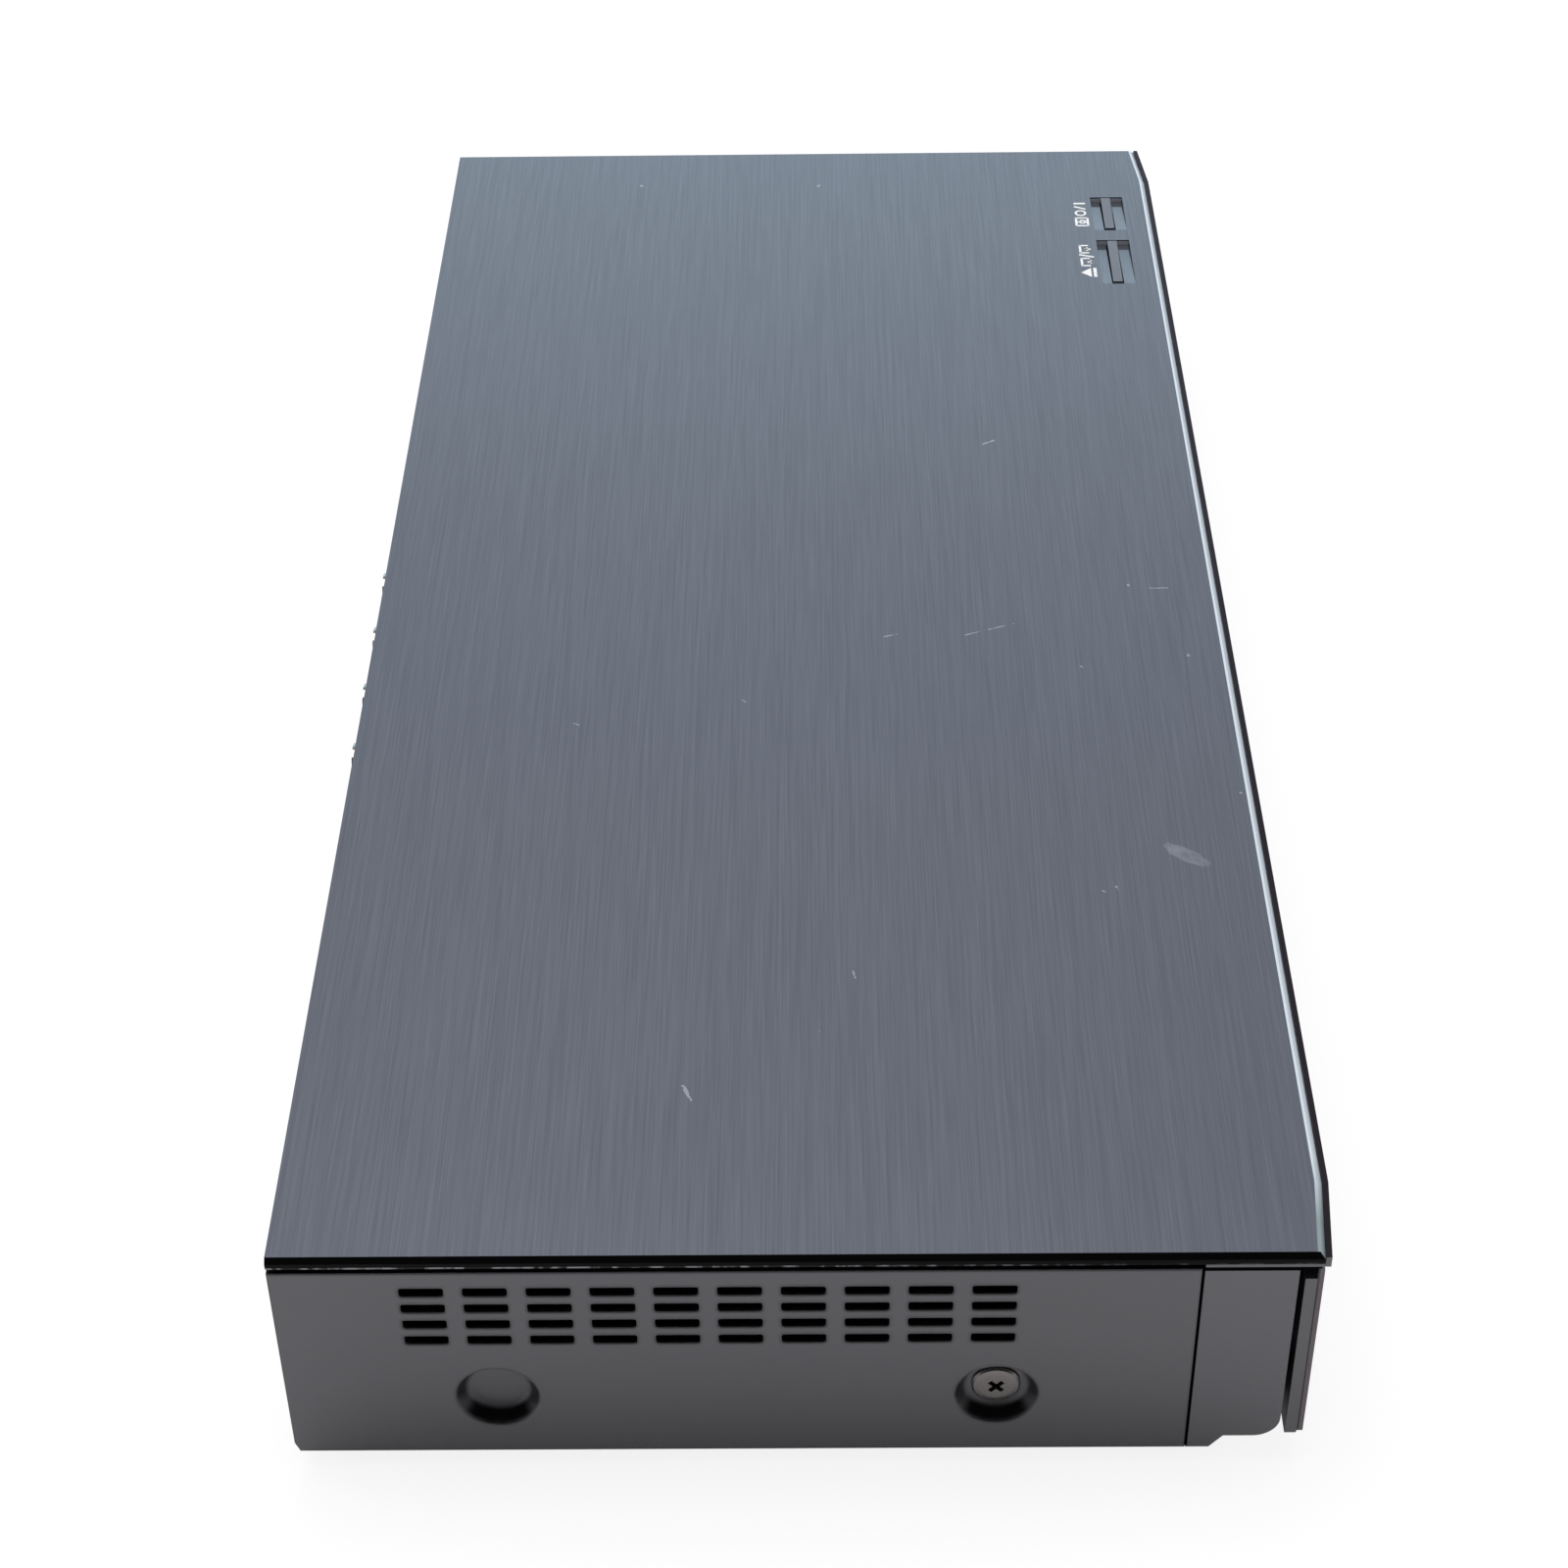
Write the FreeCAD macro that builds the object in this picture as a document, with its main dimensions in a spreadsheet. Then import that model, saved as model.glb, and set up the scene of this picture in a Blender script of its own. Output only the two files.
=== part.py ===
import FreeCAD, Part
import math
import os
import Sketcher
from FreeCAD import Placement, Rotation, Vector

# Disc recorder with a hard disk, built as its separate pieces, in millimetres.
# +X runs to the right seen from the front, +Y to the back, +Z up, and the floor is at zero.
# The origin is below the middle of the whole box, from the front lip to the aerial connectors' tips.

SIZES = {
    # Cabinet
    "wide": 430.0,
    "deep": 198.7,
    "high": 59.0,
    "connector_reach": 9.2,
    "foot_high": 4.5,
    "sheet_thick": 0.8,
    "seam": 0.1,
    "gap": 0.3,
    "fit": 0.05,
    # Top plate, with the front lip that it lies behind
    "plate_thick": 2.3,
    "plate_bevel": 1.0,
    "plate_gap": 1.1,
    "lip_show": 1.2,
    "lip_step": 0.5,
    "lip_drop": 3.0,
    "bow": 1.7,
    "bow_run": 19.0,
    "tape_inset": 6.0,
    "tape_wide": 14.0,
    # Cover, its vents and its screw dimples
    "cover_bevel_high": 2.4,
    "cover_bevel_deep": 0.9,
    "vent_long": 8.4,
    "vent_high": 2.2,
    "vent_round": 0.5,
    "vent_pitch": 11.88,
    "vent_columns": 10,
    "vent_step": 4.43,
    "vent_rows": 4,
    "vent_back": 24.1,
    "vent_drop": 7.7,
    "dimple_wide": 16.3,
    "dimple_floor": 12.2,
    "dimple_deep": 3.0,
    "dimple_drop": 38.7,
    "dimple_back": 40.6,
    "dimple_spacing": 95.8,
    "screw_head": 9.6,
    "screw_head_thick": 1.0,
    "screw_shank": 3.0,
    "screw_long": 6.0,
    "cross_long": 4.8,
    "cross_wide": 0.8,
    "cross_deep": 0.6,
    "small_head": 6.0,
    "small_head_thick": 1.6,
    # Front frame
    "frame_set_back": 7.3,
    "cheek_long": 17.8,
    "cheek_thick": 3.0,
    "cheek_drop": 4.0,
    "frame_raise": 3.3,
    "frame_round": 5.0,
    "frame_wall": 2.0,
    "step_start": 10.7,
    "step_run": 2.6,
    "deck_thick": 2.0,
    # Door
    "door_gap": 1.2,
    "backing_thick": 2.2,
    "backing_raise": 0.2,
    "backing_drop": 6.3,
    "backing_round": 1.0,
    "window_thick": 1.2,
    "window_raise": 1.5,
    "window_drop": 3.5,
    "window_bevel": 0.5,
    "pivot_back": 5.6,
    "pivot_raise": 5.2,
    "arm_thick": 4.0,
    "arm_inset": 12.0,
    "arm_round": 3.5,
    "pin_round": 1.5,
    "ear_thick": 4.0,
    "ear_raise": 1.0,
    "reveal": 0.4,
    "magnet_inset": 11.0,
    "magnet_long": 8.0,
    "magnet_low": 46.0,
    "magnet_high": 5.0,
    # Top buttons and their switches
    "power_inset": 46.3,
    "power_long": 17.3,
    "eject_inset": 75.7,
    "eject_long": 22.2,
    "button_wide": 2.6,
    "button_back": 14.45,
    "button_travel": 0.6,
    "recess_wide": 9.1,
    "recess_deep": 1.5,
    "recess_forward": 0.2,
    "recess_left": 1.0,
    "recess_right": 0.4,
    "flange_thick": 1.0,
    "flange_reach": 2.0,
    "plunger_long": 4.0,
    "switch_high": 3.8,
    "switch_wide": 6.0,
    "switch_board_drop": 11.8,
    "switch_board_reach": 6.0,
    "switch_post": 4.0,
    "board_thick": 1.6,
    # Display and the sockets in the front wall
    "display_inset": 45.0,
    "display_long": 82.0,
    "display_low": 24.0,
    "display_high": 18.0,
    "display_set_back": 0.4,
    "display_margin": 2.0,
    "front_board_end": 6.0,
    "front_board_low": 9.8,
    "front_board_high": 32.0,
    "front_board_gap": 1.7,
    "front_usb_inset": 73.0,
    "front_usb_wide": 14.0,
    "front_usb_low": 22.0,
    "front_usb_high": 7.0,
    "front_usb_deep": 14.0,
    "usb_tongue": 1.6,
    "card_low": 11.5,
    "card_high": 4.5,
    "card_inset": 125.0,
    "card_wide": 26.0,
    "card_deep": 28.0,
    "access_inset": 57.0,
    "access_wide": 58.0,
    "access_deep": 32.0,
    "socket_set_back": 0.2,
    "socket_wall": 1.0,
    "socket_end": 2.5,
    # Chassis and feet
    "flange_high": 7.0,
    "tab_half": 8.0,
    "tab_raise": 6.0,
    "post_round": 3.0,
    "post_inset": 5.0,
    "drive_post_round": 4.0,
    "drive_post_inset": 6.0,
    "disk_post_inset": 4.0,
    "foot_round": 17.0,
    "foot_side_inset": 50.0,
    "foot_front_inset": 26.75,
    "foot_rear_inset": 24.75,
    "foot_lift": 1.0,
    "pad_round": 12.0,
    "pad_thick": 2.0,
    # Disc drive frame and cover
    "drive_inset": 107.0,
    "drive_front": -93.0,
    "drive_back": 80.0,
    "drive_low": 10.1,
    "drive_wall": 2.0,
    "drive_top": 51.3,
    "drive_skirt": 12.0,
    "drive_window_half": 26.0,
    "drive_window_front": -20.0,
    "drive_window_back": 50.0,
    "ledge_thick": 3.0,
    "ledge_reach": 6.0,
    "spindle_row": -26.0,
    # Tray
    "bezel_low": 38.9,
    "tray_margin": 5.5,
    "tray_side_gap": 7.0,
    "tray_low": 43.0,
    "tray_high": 49.5,
    "tray_back": 38.0,
    "tray_rail_back": 78.0,
    "tray_rail_wide": 14.0,
    "tray_slot_half": 22.0,
    "disc_recess": 60.5,
    "disc_floor": 45.5,
    "small_disc_recess": 41.0,
    "small_disc_floor": 44.6,
    "rack_side": 48.0,
    "rack_low": 39.8,
    "rack_front": -85.0,
    "rack_back": 66.0,
    "rack_rib": 4.0,
    # Loading gears, pulleys, belt and motor
    "gear_module": 1.0,
    "gear_teeth": 18,
    "pinion_teeth": 10,
    "backlash": 0.3,
    "gear_row": -78.0,
    "gear_low": 34.3,
    "gear_pin": 1.5,
    "gear_boss": 4.0,
    "gear_collar": 2.0,
    "pinion_high": 4.0,
    "pulley_low": 30.0,
    "pulley_high": 3.6,
    "pulley_round": 10.0,
    "motor_pulley_round": 4.0,
    "pulley_lip": 1.4,
    "lip_thick": 0.8,
    "belt_thick": 1.5,
    "belt_spacing": 47.0,
    "motor_round": 10.0,
    "motor_boss": 3.0,
    "motor_shaft": 1.0,
    # Traverse, lifted by the cam slider
    "traverse_half": 42.0,
    "traverse_front": -52.0,
    "traverse_back": 74.0,
    "traverse_low": 30.0,
    "traverse_thick": 3.0,
    "traverse_pivot": 70.0,
    "traverse_pivot_high": 32.0,
    "trunnion_round": 2.0,
    "trunnion_long": 4.0,
    "trunnion_ear": 5.0,
    "traverse_tilt": 5.0,
    "cam_run": 12.0,
    "cam_pin_side": -12.0,
    "cam_pin_high": 31.5,
    "groove_clearance": 1.6,
    "groove_end": 3.0,
    "slider_front": -57.0,
    "slider_thick": 2.4,
    "slider_long": 70.0,
    "slider_low": 14.0,
    "slider_high": 23.0,
    "channel_wall": 2.4,
    "channel_high": 3.0,
    # Spindle, clamper and pickup
    "spindle_motor_round": 12.0,
    "spindle_motor_thick": 5.0,
    "spindle_shaft": 1.2,
    "turntable_round": 15.0,
    "turntable_thick": 2.0,
    "disc_seat": 47.0,
    "cone_round": 7.4,
    "cone_high": 2.2,
    "cone_taper": 1.6,
    "clamper_round": 16.0,
    "clamper_neck": 12.0,
    "clamper_flange": 3.0,
    "clamper_raise": 1.4,
    "rod_side": 22.0,
    "rod_round": 1.5,
    "rod_high": 36.5,
    "rod_front": -17.0,
    "rod_back": 58.0,
    "rod_post": 3.0,
    "pickup_half": 25.0,
    "pickup_long": 20.0,
    "pickup_low": 34.0,
    "pickup_top": 42.0,
    "lens_start": 24.0,
    "lens_round": 3.8,
    "lens_high": 1.0,
    "screw_side": -36.0,
    "lead_round": 1.5,
    "lead_start": 9.0,
    "sled_motor_round": 3.4,
    "sled_motor_long": 12.0,
    # Hard disk
    "disk_gap": 15.0,
    "disk_long": 147.0,
    "disk_front": -85.0,
    "disk_wide": 101.6,
    "disk_low": 26.0,
    "disk_high": 26.1,
    "disk_wall": 3.4,
    "disk_floor": 5.0,
    "disk_lid": 1.0,
    "disk_board_inset": 10.0,
    "platter_round": 46.5,
    "platter_thick": 1.3,
    "platter_first": 4.0,
    "platter_step": 6.0,
    "platter_hub": 12.0,
    "hub_high": 14.0,
    "arm_pivot_across": 57.2,
    "arm_pivot_along": -17.8,
    "arm_bearing": 7.0,
    "arm_long": 45.0,
    "arm_wide": 7.0,
    "arm_high": 1.6,
    "arm_level": 7.0,
    "arm_rest": 113.0,
    "coil_long": 24.0,
    "coil_wide": 18.0,
    "coil_high": 3.0,
    # Boards
    "board_high": 12.0,
    "board_gap": 4.0,
    "main_gap": 7.0,
    "main_front": -60.0,
    "main_post_back": 60.0,
    "power_wide": 64.2,
    "power_front": -82.0,
    "power_deep": 160.0,
    "sink_inset": 94.0,
    "sink_gap": 5.4,
    "sink_wide": 32.0,
    "sink_deep": 34.0,
    "sink_base": 3.0,
    "sink_high": 16.0,
    "fin_thick": 2.0,
    "fin_count": 6,
    "core_inset": 20.0,
    "core_behind": 52.0,
    "core_wide": 32.0,
    "core_deep": 36.0,
    "core_high": 24.0,
    "core_shoulder": 6.0,
    "ribbon_front": 28.0,
    "ribbon_wide": 20.0,
    "ribbon_thick": 0.3,
    "ribbon_raise": 3.0,
    # Rear sockets
    "coax_inset": 11.0,
    "coax_pitch": 23.7,
    "coax_count": 4,
    "coax_round": 4.75,
    "coax_high": 18.25,
    "coax_nut": 2.0,
    "coax_wall": 0.9,
    "coax_contact": 0.6,
    "tuner_deep": 24.0,
    "tuner_high": 10.7,
    "tuner_margin": 12.0,
    "hdmi_inset": 70.0,
    "hdmi_wide": 15.0,
    "hdmi_high": 6.0,
    "hdmi_deep": 11.3,
    "hdmi_wall": 0.6,
    "lan_inset": 51.5,
    "lan_wide": 16.0,
    "lan_high": 13.5,
    "lan_deep": 15.3,
    "lan_wall": 2.2,
    "rear_socket_proud": 0.3,
    "jack_inset": 29.0,
    "jack_pitch": 11.5,
    "jack_count": 3,
    "jack_round": 4.2,
    "jack_bore": 1.7,
    "jack_long": 8.5,
    "jack_block_deep": 9.0,
    "jack_block_high": 12.0,
    "inlet_inset": 26.0,
    "inlet_wide": 22.0,
    "inlet_high": 14.0,
    "inlet_deep": 17.2,
    "inlet_hole": 4.4,
    "inlet_pitch": 8.4,
    "inlet_pin": 1.15,
    "inlet_wall": 4.2,
    # Fan and the rear panel's slots
    "fan_inset": 49.0,
    "fan_wide": 40.0,
    "fan_thick": 10.0,
    "fan_low": 9.0,
    "fan_wall": 1.4,
    "fan_blades": 7,
    "fan_hub": 8.5,
    "blade_thick": 1.0,
    "blade_wide": 6.0,
    "blade_turn": 42.0,
    "strut_thick": 1.5,
    "strut_wide": 2.0,
    "grille_half": 18.0,
    "grille_rows": 7,
    "grille_step": 4.4,
    "grille_slot": 2.2,
    "grille_taper": 2.0,
    "louvre_count": 14,
    "louvre_pitch": 10.0,
    "louvre_wide": 5.0,
    "louvre_low": 34.0,
    "louvre_high": 10.0,
    "louvre_inset": 8.0,
    "panel_screw_inset": 9.0,
    "panel_screw_mid": 60.0,
    "panel_screw_low": 9.0,
    "panel_screw_high": 50.0,
}

# Soldered parts on a board: across from its left edge, behind from the hard disk's back or the board's
# own front, or ahead of its back, then wide, deep and high, or radius and high if round
MAIN_CHIPS = {
    "processor": (98, 9.4, 26, 26, 2),
    "memory_one": (48, 7.4, 14, 12, 1.2),
    "memory_two": (48, 25.4, 14, 12, 1.2),
    "network_chip": (134, 5.4, 20, 20, 1.6),
    "tuner_chip": (12, 7.4, 20, 26, 1.6),
}
MAIN_CANS = {"can_one": (78, -33.15, 4, 9), "can_two": (90, -33.15, 4, 9), "can_three": (144, -39.15, 5, 12)}
POWER_CHIPS = {"power_sink": (6, 62, 4, 50, 24), "filter_coil": (40, 122, 18, 18, 15)}
POWER_CANS = {
    "big_can": (14, 24, 9, 26),
    "middle_can": (36, 22, 7, 20),
    "small_can": (53, 22, 5, 16),
    "output_can": (22, 132, 6, 14),
}
for chips in (MAIN_CHIPS, POWER_CHIPS):
    for name, row in chips.items():
        SIZES.update(zip((name + word for word in ("_across", "_behind", "_wide", "_deep", "_high")), row))
for cans in (MAIN_CANS, POWER_CANS):
    for name, row in cans.items():
        SIZES.update(zip((name + word for word in ("_across", "_behind", "_round", "_high")), row))

doc = FreeCAD.newDocument("recorder")
sheet = doc.addObject("Spreadsheet::Sheet", "sizes")
for row, (word, number) in enumerate(SIZES.items(), 1):
    sheet.set("A%d" % row, word)
    sheet.set("B%d" % row, str(number))
    sheet.setAlias("B%d" % row, word)
doc.recompute()


class Length:
    """A size of the sheet, or one worked out from such sizes, as the sheet's words and as a number."""

    def __init__(self, text, number):
        self.text = text
        self.number = number

    def __add__(self, other):
        return worked_out(self, "+", other)

    def __radd__(self, other):
        return worked_out(other, "+", self)

    def __sub__(self, other):
        return worked_out(self, "-", other)

    def __rsub__(self, other):
        return worked_out(other, "-", self)

    def __mul__(self, other):
        return worked_out(self, "*", other)

    def __rmul__(self, other):
        return worked_out(other, "*", self)

    def __truediv__(self, other):
        return worked_out(self, "/", other)

    def __neg__(self):
        return worked_out(0, "-", self)


def text_of(value):
    return value.text if isinstance(value, Length) else str(value)


def number_of(value):
    return value.number if isinstance(value, Length) else value


def worked_out(left, sign, right):
    a = number_of(left)
    b = number_of(right)
    number = {"+": a + b, "-": a - b, "*": a * b, "/": a / b if b else 0.0}[sign]
    return Length("(%s %s %s)" % (text_of(left), sign, text_of(right)), number)


def sine(angle):
    return Length("sin(%s)" % angle.text, math.sin(math.radians(angle.number)))


class Sizes:
    """Every alias of the sheet as a Length of the same name."""


of = Sizes()
for word, number in SIZES.items():
    setattr(of, word, Length("sizes." + word, number))

# How far a cutting tool runs past what it cuts
OVER = 1.0


def wider(span, by):
    return span[0] - by, span[1] + by


def both_sides(span):
    """A stretch along X and its mirror image at the other end of the cabinet."""
    return (-span[1], -span[0]), span


def from_low(low, size):
    return low, low + size


def bind(item, name, value):
    item.setExpression(name, text_of(value))


def put(item, x, y, z):
    for along, place in zip("xyz", (x, y, z)):
        bind(item, "Placement.Base." + along, place)
    return item


def block(x, y, z):
    """A box between two places along each axis."""
    item = doc.addObject("Part::Box", "Block")
    for word, (low, high) in zip(("Length", "Width", "Height"), (x, y, z)):
        bind(item, word, high - low)
    return put(item, x[0], y[0], z[0])


TURNS = {
    "x": Rotation(Vector(0, 1, 0), 90),
    "y": Rotation(Vector(1, 0, 0), -90),
    "z": Rotation(),
}


def stand(item, axis, centre, start):
    """Turns a round piece to its axis; centre holds its two places across that axis."""
    item.Placement.Rotation = TURNS[axis]
    places = list(centre)
    places.insert("xyz".index(axis), start)
    return put(item, *places)


def rod(axis, centre, radius, span):
    item = doc.addObject("Part::Cylinder", "Rod")
    bind(item, "Radius", radius)
    bind(item, "Height", span[1] - span[0])
    return stand(item, axis, centre, span[0])


def taper(axis, centre, radii, span):
    item = doc.addObject("Part::Cone", "Taper")
    bind(item, "Radius1", radii[0])
    bind(item, "Radius2", radii[1])
    bind(item, "Height", span[1] - span[0])
    return stand(item, axis, centre, span[0])


def fuse(*items):
    item = doc.addObject("Part::MultiFuse", "Fused")
    item.Shapes = list(items)
    item.Refine = True
    return item


def group(*items):
    item = doc.addObject("Part::Compound", "Group")
    item.Links = list(items)
    return item


def cut(base, *tools):
    item = doc.addObject("Part::Cut", "Cut")
    item.Base = base
    item.Tool = tools[0] if len(tools) == 1 else fuse(*tools)
    return item


def shaped(name, shape, x, y, z):
    """A piece whose own shape is worked out point by point."""
    item = doc.addObject("Part::Feature", name)
    item.Shape = shape
    return put(item, x, y, z)


PLANES = {"xy": "XY_Plane", "xz": "XZ_Plane", "yz": "YZ_Plane"}


def part_body(name):
    return doc.addObject("PartDesign::Body", name)


def role(body, word):
    return [feature for feature in body.Origin.OriginFeatures if feature.Role == word][0]


def new_sketch(body, plane, level):
    """A sketch across one of the body's own planes, at a place along that plane's axis."""
    sketch = body.newObject("Sketcher::SketchObject", "Outline")
    sketch.AttachmentSupport = [(role(body, PLANES[plane]), "")]
    sketch.MapMode = "FlatFace"
    bind(sketch, "AttachmentOffset.Base.z", -level if plane == "xz" else level)
    return sketch


def pin_point(sketch, edge, end, u, v):
    """Holds one point of a sketch at its two places from the origin."""
    for word, place in (("DistanceX", u), ("DistanceY", v)):
        number = sketch.addConstraint(Sketcher.Constraint(word, -1, 1, edge, end, number_of(place)))
        sketch.setExpression("Constraints[%d]" % number, text_of(place))


def polygon(sketch, points):
    places = [Vector(number_of(u), number_of(v), 0) for u, v in points]
    count = len(points)
    for k in range(count):
        sketch.addGeometry(Part.LineSegment(places[k], places[(k + 1) % count]), False)
    for k in range(count):
        sketch.addConstraint(Sketcher.Constraint("Coincident", k, 2, (k + 1) % count, 1))
    for k, (u, v) in enumerate(points):
        pin_point(sketch, k, 1, u, v)


def rounded_oblong(sketch, u, v, radius):
    """An oblong with its four corners rounded alike."""
    r = number_of(radius)
    corners = (
        (u[0] + radius, v[0] + radius, 180),
        (u[1] - radius, v[0] + radius, 270),
        (u[1] - radius, v[1] - radius, 0),
        (u[0] + radius, v[1] - radius, 90),
    )
    for place, height, start in corners:
        circle = Part.Circle(Vector(number_of(place), number_of(height), 0), Vector(0, 0, 1), r)
        arc = Part.ArcOfCircle(circle, math.radians(start), math.radians(start + 90))
        sketch.addGeometry(arc, False)
    for k in range(4):
        ends = (sketch.Geometry[k].EndPoint, sketch.Geometry[(k + 1) % 4].StartPoint)
        sketch.addGeometry(Part.LineSegment(*ends), False)
    for k in range(4):
        sketch.addConstraint(Sketcher.Constraint("Tangent", k, 2, 4 + k, 1))
        sketch.addConstraint(Sketcher.Constraint("Tangent", 4 + k, 2, (k + 1) % 4, 1))
    for k in (0, 2):
        sketch.addConstraint(Sketcher.Constraint("Horizontal", 4 + k))
        sketch.addConstraint(Sketcher.Constraint("Vertical", 5 + k))
        pin_point(sketch, k, 3, corners[k][0], corners[k][1])
    for k in (1, 2, 3):
        sketch.addConstraint(Sketcher.Constraint("Equal", 0, k))
    number = sketch.addConstraint(Sketcher.Constraint("Radius", 0, r))
    sketch.setExpression("Constraints[%d]" % number, text_of(radius))


def pad(body, plane, span, points):
    """Adds an outline's solid between two places along the plane's axis."""
    sketch = new_sketch(body, plane, span[1] if plane == "xz" else span[0])
    polygon(sketch, points)
    feature = body.newObject("PartDesign::Pad", "Pad")
    feature.Profile = sketch
    bind(feature, "Length", span[1] - span[0])


def pocket(body, plane, span, points):
    """Takes an outline's solid away between two places along the plane's axis."""
    doc.recompute()
    before = body.Shape.Volume
    sketch = new_sketch(body, plane, span[0] if plane == "xz" else span[1])
    polygon(sketch, points)
    feature = body.newObject("PartDesign::Pocket", "Pocket")
    feature.Profile = sketch
    bind(feature, "Length", span[1] - span[0])
    doc.recompute()
    if body.Shape.Volume > before - 1e-3:
        raise ValueError("a pocket of %s cuts nothing" % body.Name)


def oblong(u, v):
    return [(u[0], v[0]), (u[1], v[0]), (u[1], v[1]), (u[0], v[1])]


def dress(body, kind, value, chosen):
    """Rounds or bevels the edges whose middle the test accepts; kind is Fillet or Chamfer."""
    doc.recompute()
    base = body.Tip
    names = ["Edge%d" % number for number, edge in enumerate(base.Shape.Edges, 1)
             if chosen(edge.valueAt((edge.FirstParameter + edge.LastParameter) / 2))]
    feature = body.newObject("PartDesign::" + kind, kind)
    feature.Base = (base, names)
    bind(feature, "Radius" if kind == "Fillet" else "Size", value)


def near(a, b):
    return abs(a - number_of(b)) < 1e-4


def pattern(body, axis, pitch, count):
    """One direction of a grid, towards the axis's lower end."""
    feature = body.newObject("PartDesign::LinearPattern", "Line")
    feature.Direction = (role(body, axis), [""])
    feature.Reversed = True
    bind(feature, "Length", pitch * (count - 1))
    bind(feature, "Occurrences", count)
    return feature


pieces = []


def keep(name, item):
    """Names a finished sub-part; each becomes one file."""
    item.Label = name
    pieces.append(item)


half = of.wide / 2
front = -(of.deep + of.connector_reach) / 2
back = front + of.deep
top = of.high
floor = of.foot_high
sheet_thick = of.sheet_thick

# Top plate: a resin slab with bevelled edges, set-back ends and a scoop for each button
plate_low = top - of.plate_thick
plate_front = front + of.lip_show
bow_start = half - of.bow_run
plate_edge = [
    (-half, back), (-half, plate_front + of.bow), (-bow_start, plate_front),
    (bow_start, plate_front), (half, plate_front + of.bow), (half, back),
]
button_mid = front + of.button_back - of.button_wide / 2
button_y = (button_mid - of.button_wide / 2, button_mid + of.button_wide / 2)
recess_mid = button_mid - of.recess_forward
recess_y = (recess_mid - of.recess_wide / 2, recess_mid + of.recess_wide / 2)
buttons = {
    "power": from_low(half - of.power_inset, of.power_long),
    "eject": from_low(half - of.eject_inset, of.eject_long),
}

plate = part_body("TopPlate")
pad(plate, "xy", (plate_low, top), plate_edge)
dress(plate, "Chamfer", of.plate_bevel, lambda p: near(p.z, top) and not near(p.y, back))
for bar_x in buttons.values():
    scoop_left = bar_x[0] - of.recess_left
    scoop_right = bar_x[1] + of.recess_right
    pocket(plate, "xz", recess_y,
           [(scoop_left, top), (scoop_right, top - of.recess_deep), (scoop_right, top)])
    pocket(plate, "xy", (plate_low, top), oblong(wider(bar_x, of.gap), wider(button_y, of.gap)))
keep("top_plate", plate)

# Cover: one folded steel sheet over the top and both sides
frame_front = front + of.frame_set_back
frame_back = frame_front + of.cheek_long
cover_front = frame_back + of.seam
cover_top = plate_low - of.plate_gap
inner_half = half - sheet_thick
dimple_high = top - of.dimple_drop
dimple_rows = (back - of.dimple_back, back - of.dimple_back - of.dimple_spacing)
screw_row = dimple_rows[1]
dimple_inner = half - of.dimple_deep

cover = part_body("CoverSheet")
pad(cover, "xz", (cover_front, back), [
    (-half, floor), (-inner_half, floor), (-inner_half, cover_top - sheet_thick),
    (inner_half, cover_top - sheet_thick), (inner_half, floor), (half, floor),
    (half, cover_top), (-half, cover_top),
])
pocket(cover, "yz", (-half, half), [
    (back, floor), (back, floor + of.cover_bevel_high), (back - of.cover_bevel_deep, floor),
])
vent_y = (back - of.vent_back - of.vent_long, back - of.vent_back)
vent_z = (top - of.vent_drop - of.vent_high, top - of.vent_drop)
vent_sketch = new_sketch(cover, "yz", 0 * half)
rounded_oblong(vent_sketch, vent_y, vent_z, of.vent_round)
vent = cover.newObject("PartDesign::Pocket", "Vent")
vent.Profile = vent_sketch
vent.Type = "ThroughAll"
vent.Midplane = True
doc.recompute()
grid = cover.newObject("PartDesign::MultiTransform", "Vents")
grid.Originals = [vent]
grid.Transformations = [
    pattern(cover, "Y_Axis", of.vent_pitch, of.vent_columns),
    pattern(cover, "Z_Axis", of.vent_step, of.vent_rows),
]
cover.Tip = grid
dimples = []
hollows = []
wide_end = of.dimple_wide / 2
narrow_end = of.dimple_floor / 2
for side, span in zip((-1, 1), both_sides((dimple_inner, half))):
    # Each cone opens outwards, so its wide end is on the outer face
    ends = (wide_end, narrow_end) if side < 0 else (narrow_end, wide_end)
    floor_x = both_sides((dimple_inner - sheet_thick, dimple_inner))[side > 0]
    for row in dimple_rows:
        centre = (row, dimple_high)
        dimples.append(taper("x", centre, [radius + sheet_thick for radius in ends], span))
        dimples.append(rod("x", centre, narrow_end + sheet_thick, floor_x))
        hollows.append(taper("x", centre, ends, span))
    hollows.append(rod("x", (screw_row, dimple_high), of.screw_shank / 2, floor_x))
keep("top_cover", cut(fuse(cover, *dimples), *hollows))

# Tape strips that hold the top plate on the cover
tape_x = (of.tape_inset - half, half - of.tape_inset)
tape_z = (cover_top, plate_low)
tape_rear = back - of.tape_inset - of.tape_wide
keep("plate_tape", group(
    block(tape_x, from_low(tape_rear, of.tape_wide), tape_z),
    block(tape_x, from_low(cover_front + of.tape_inset, of.tape_wide), tape_z),
))

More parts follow.
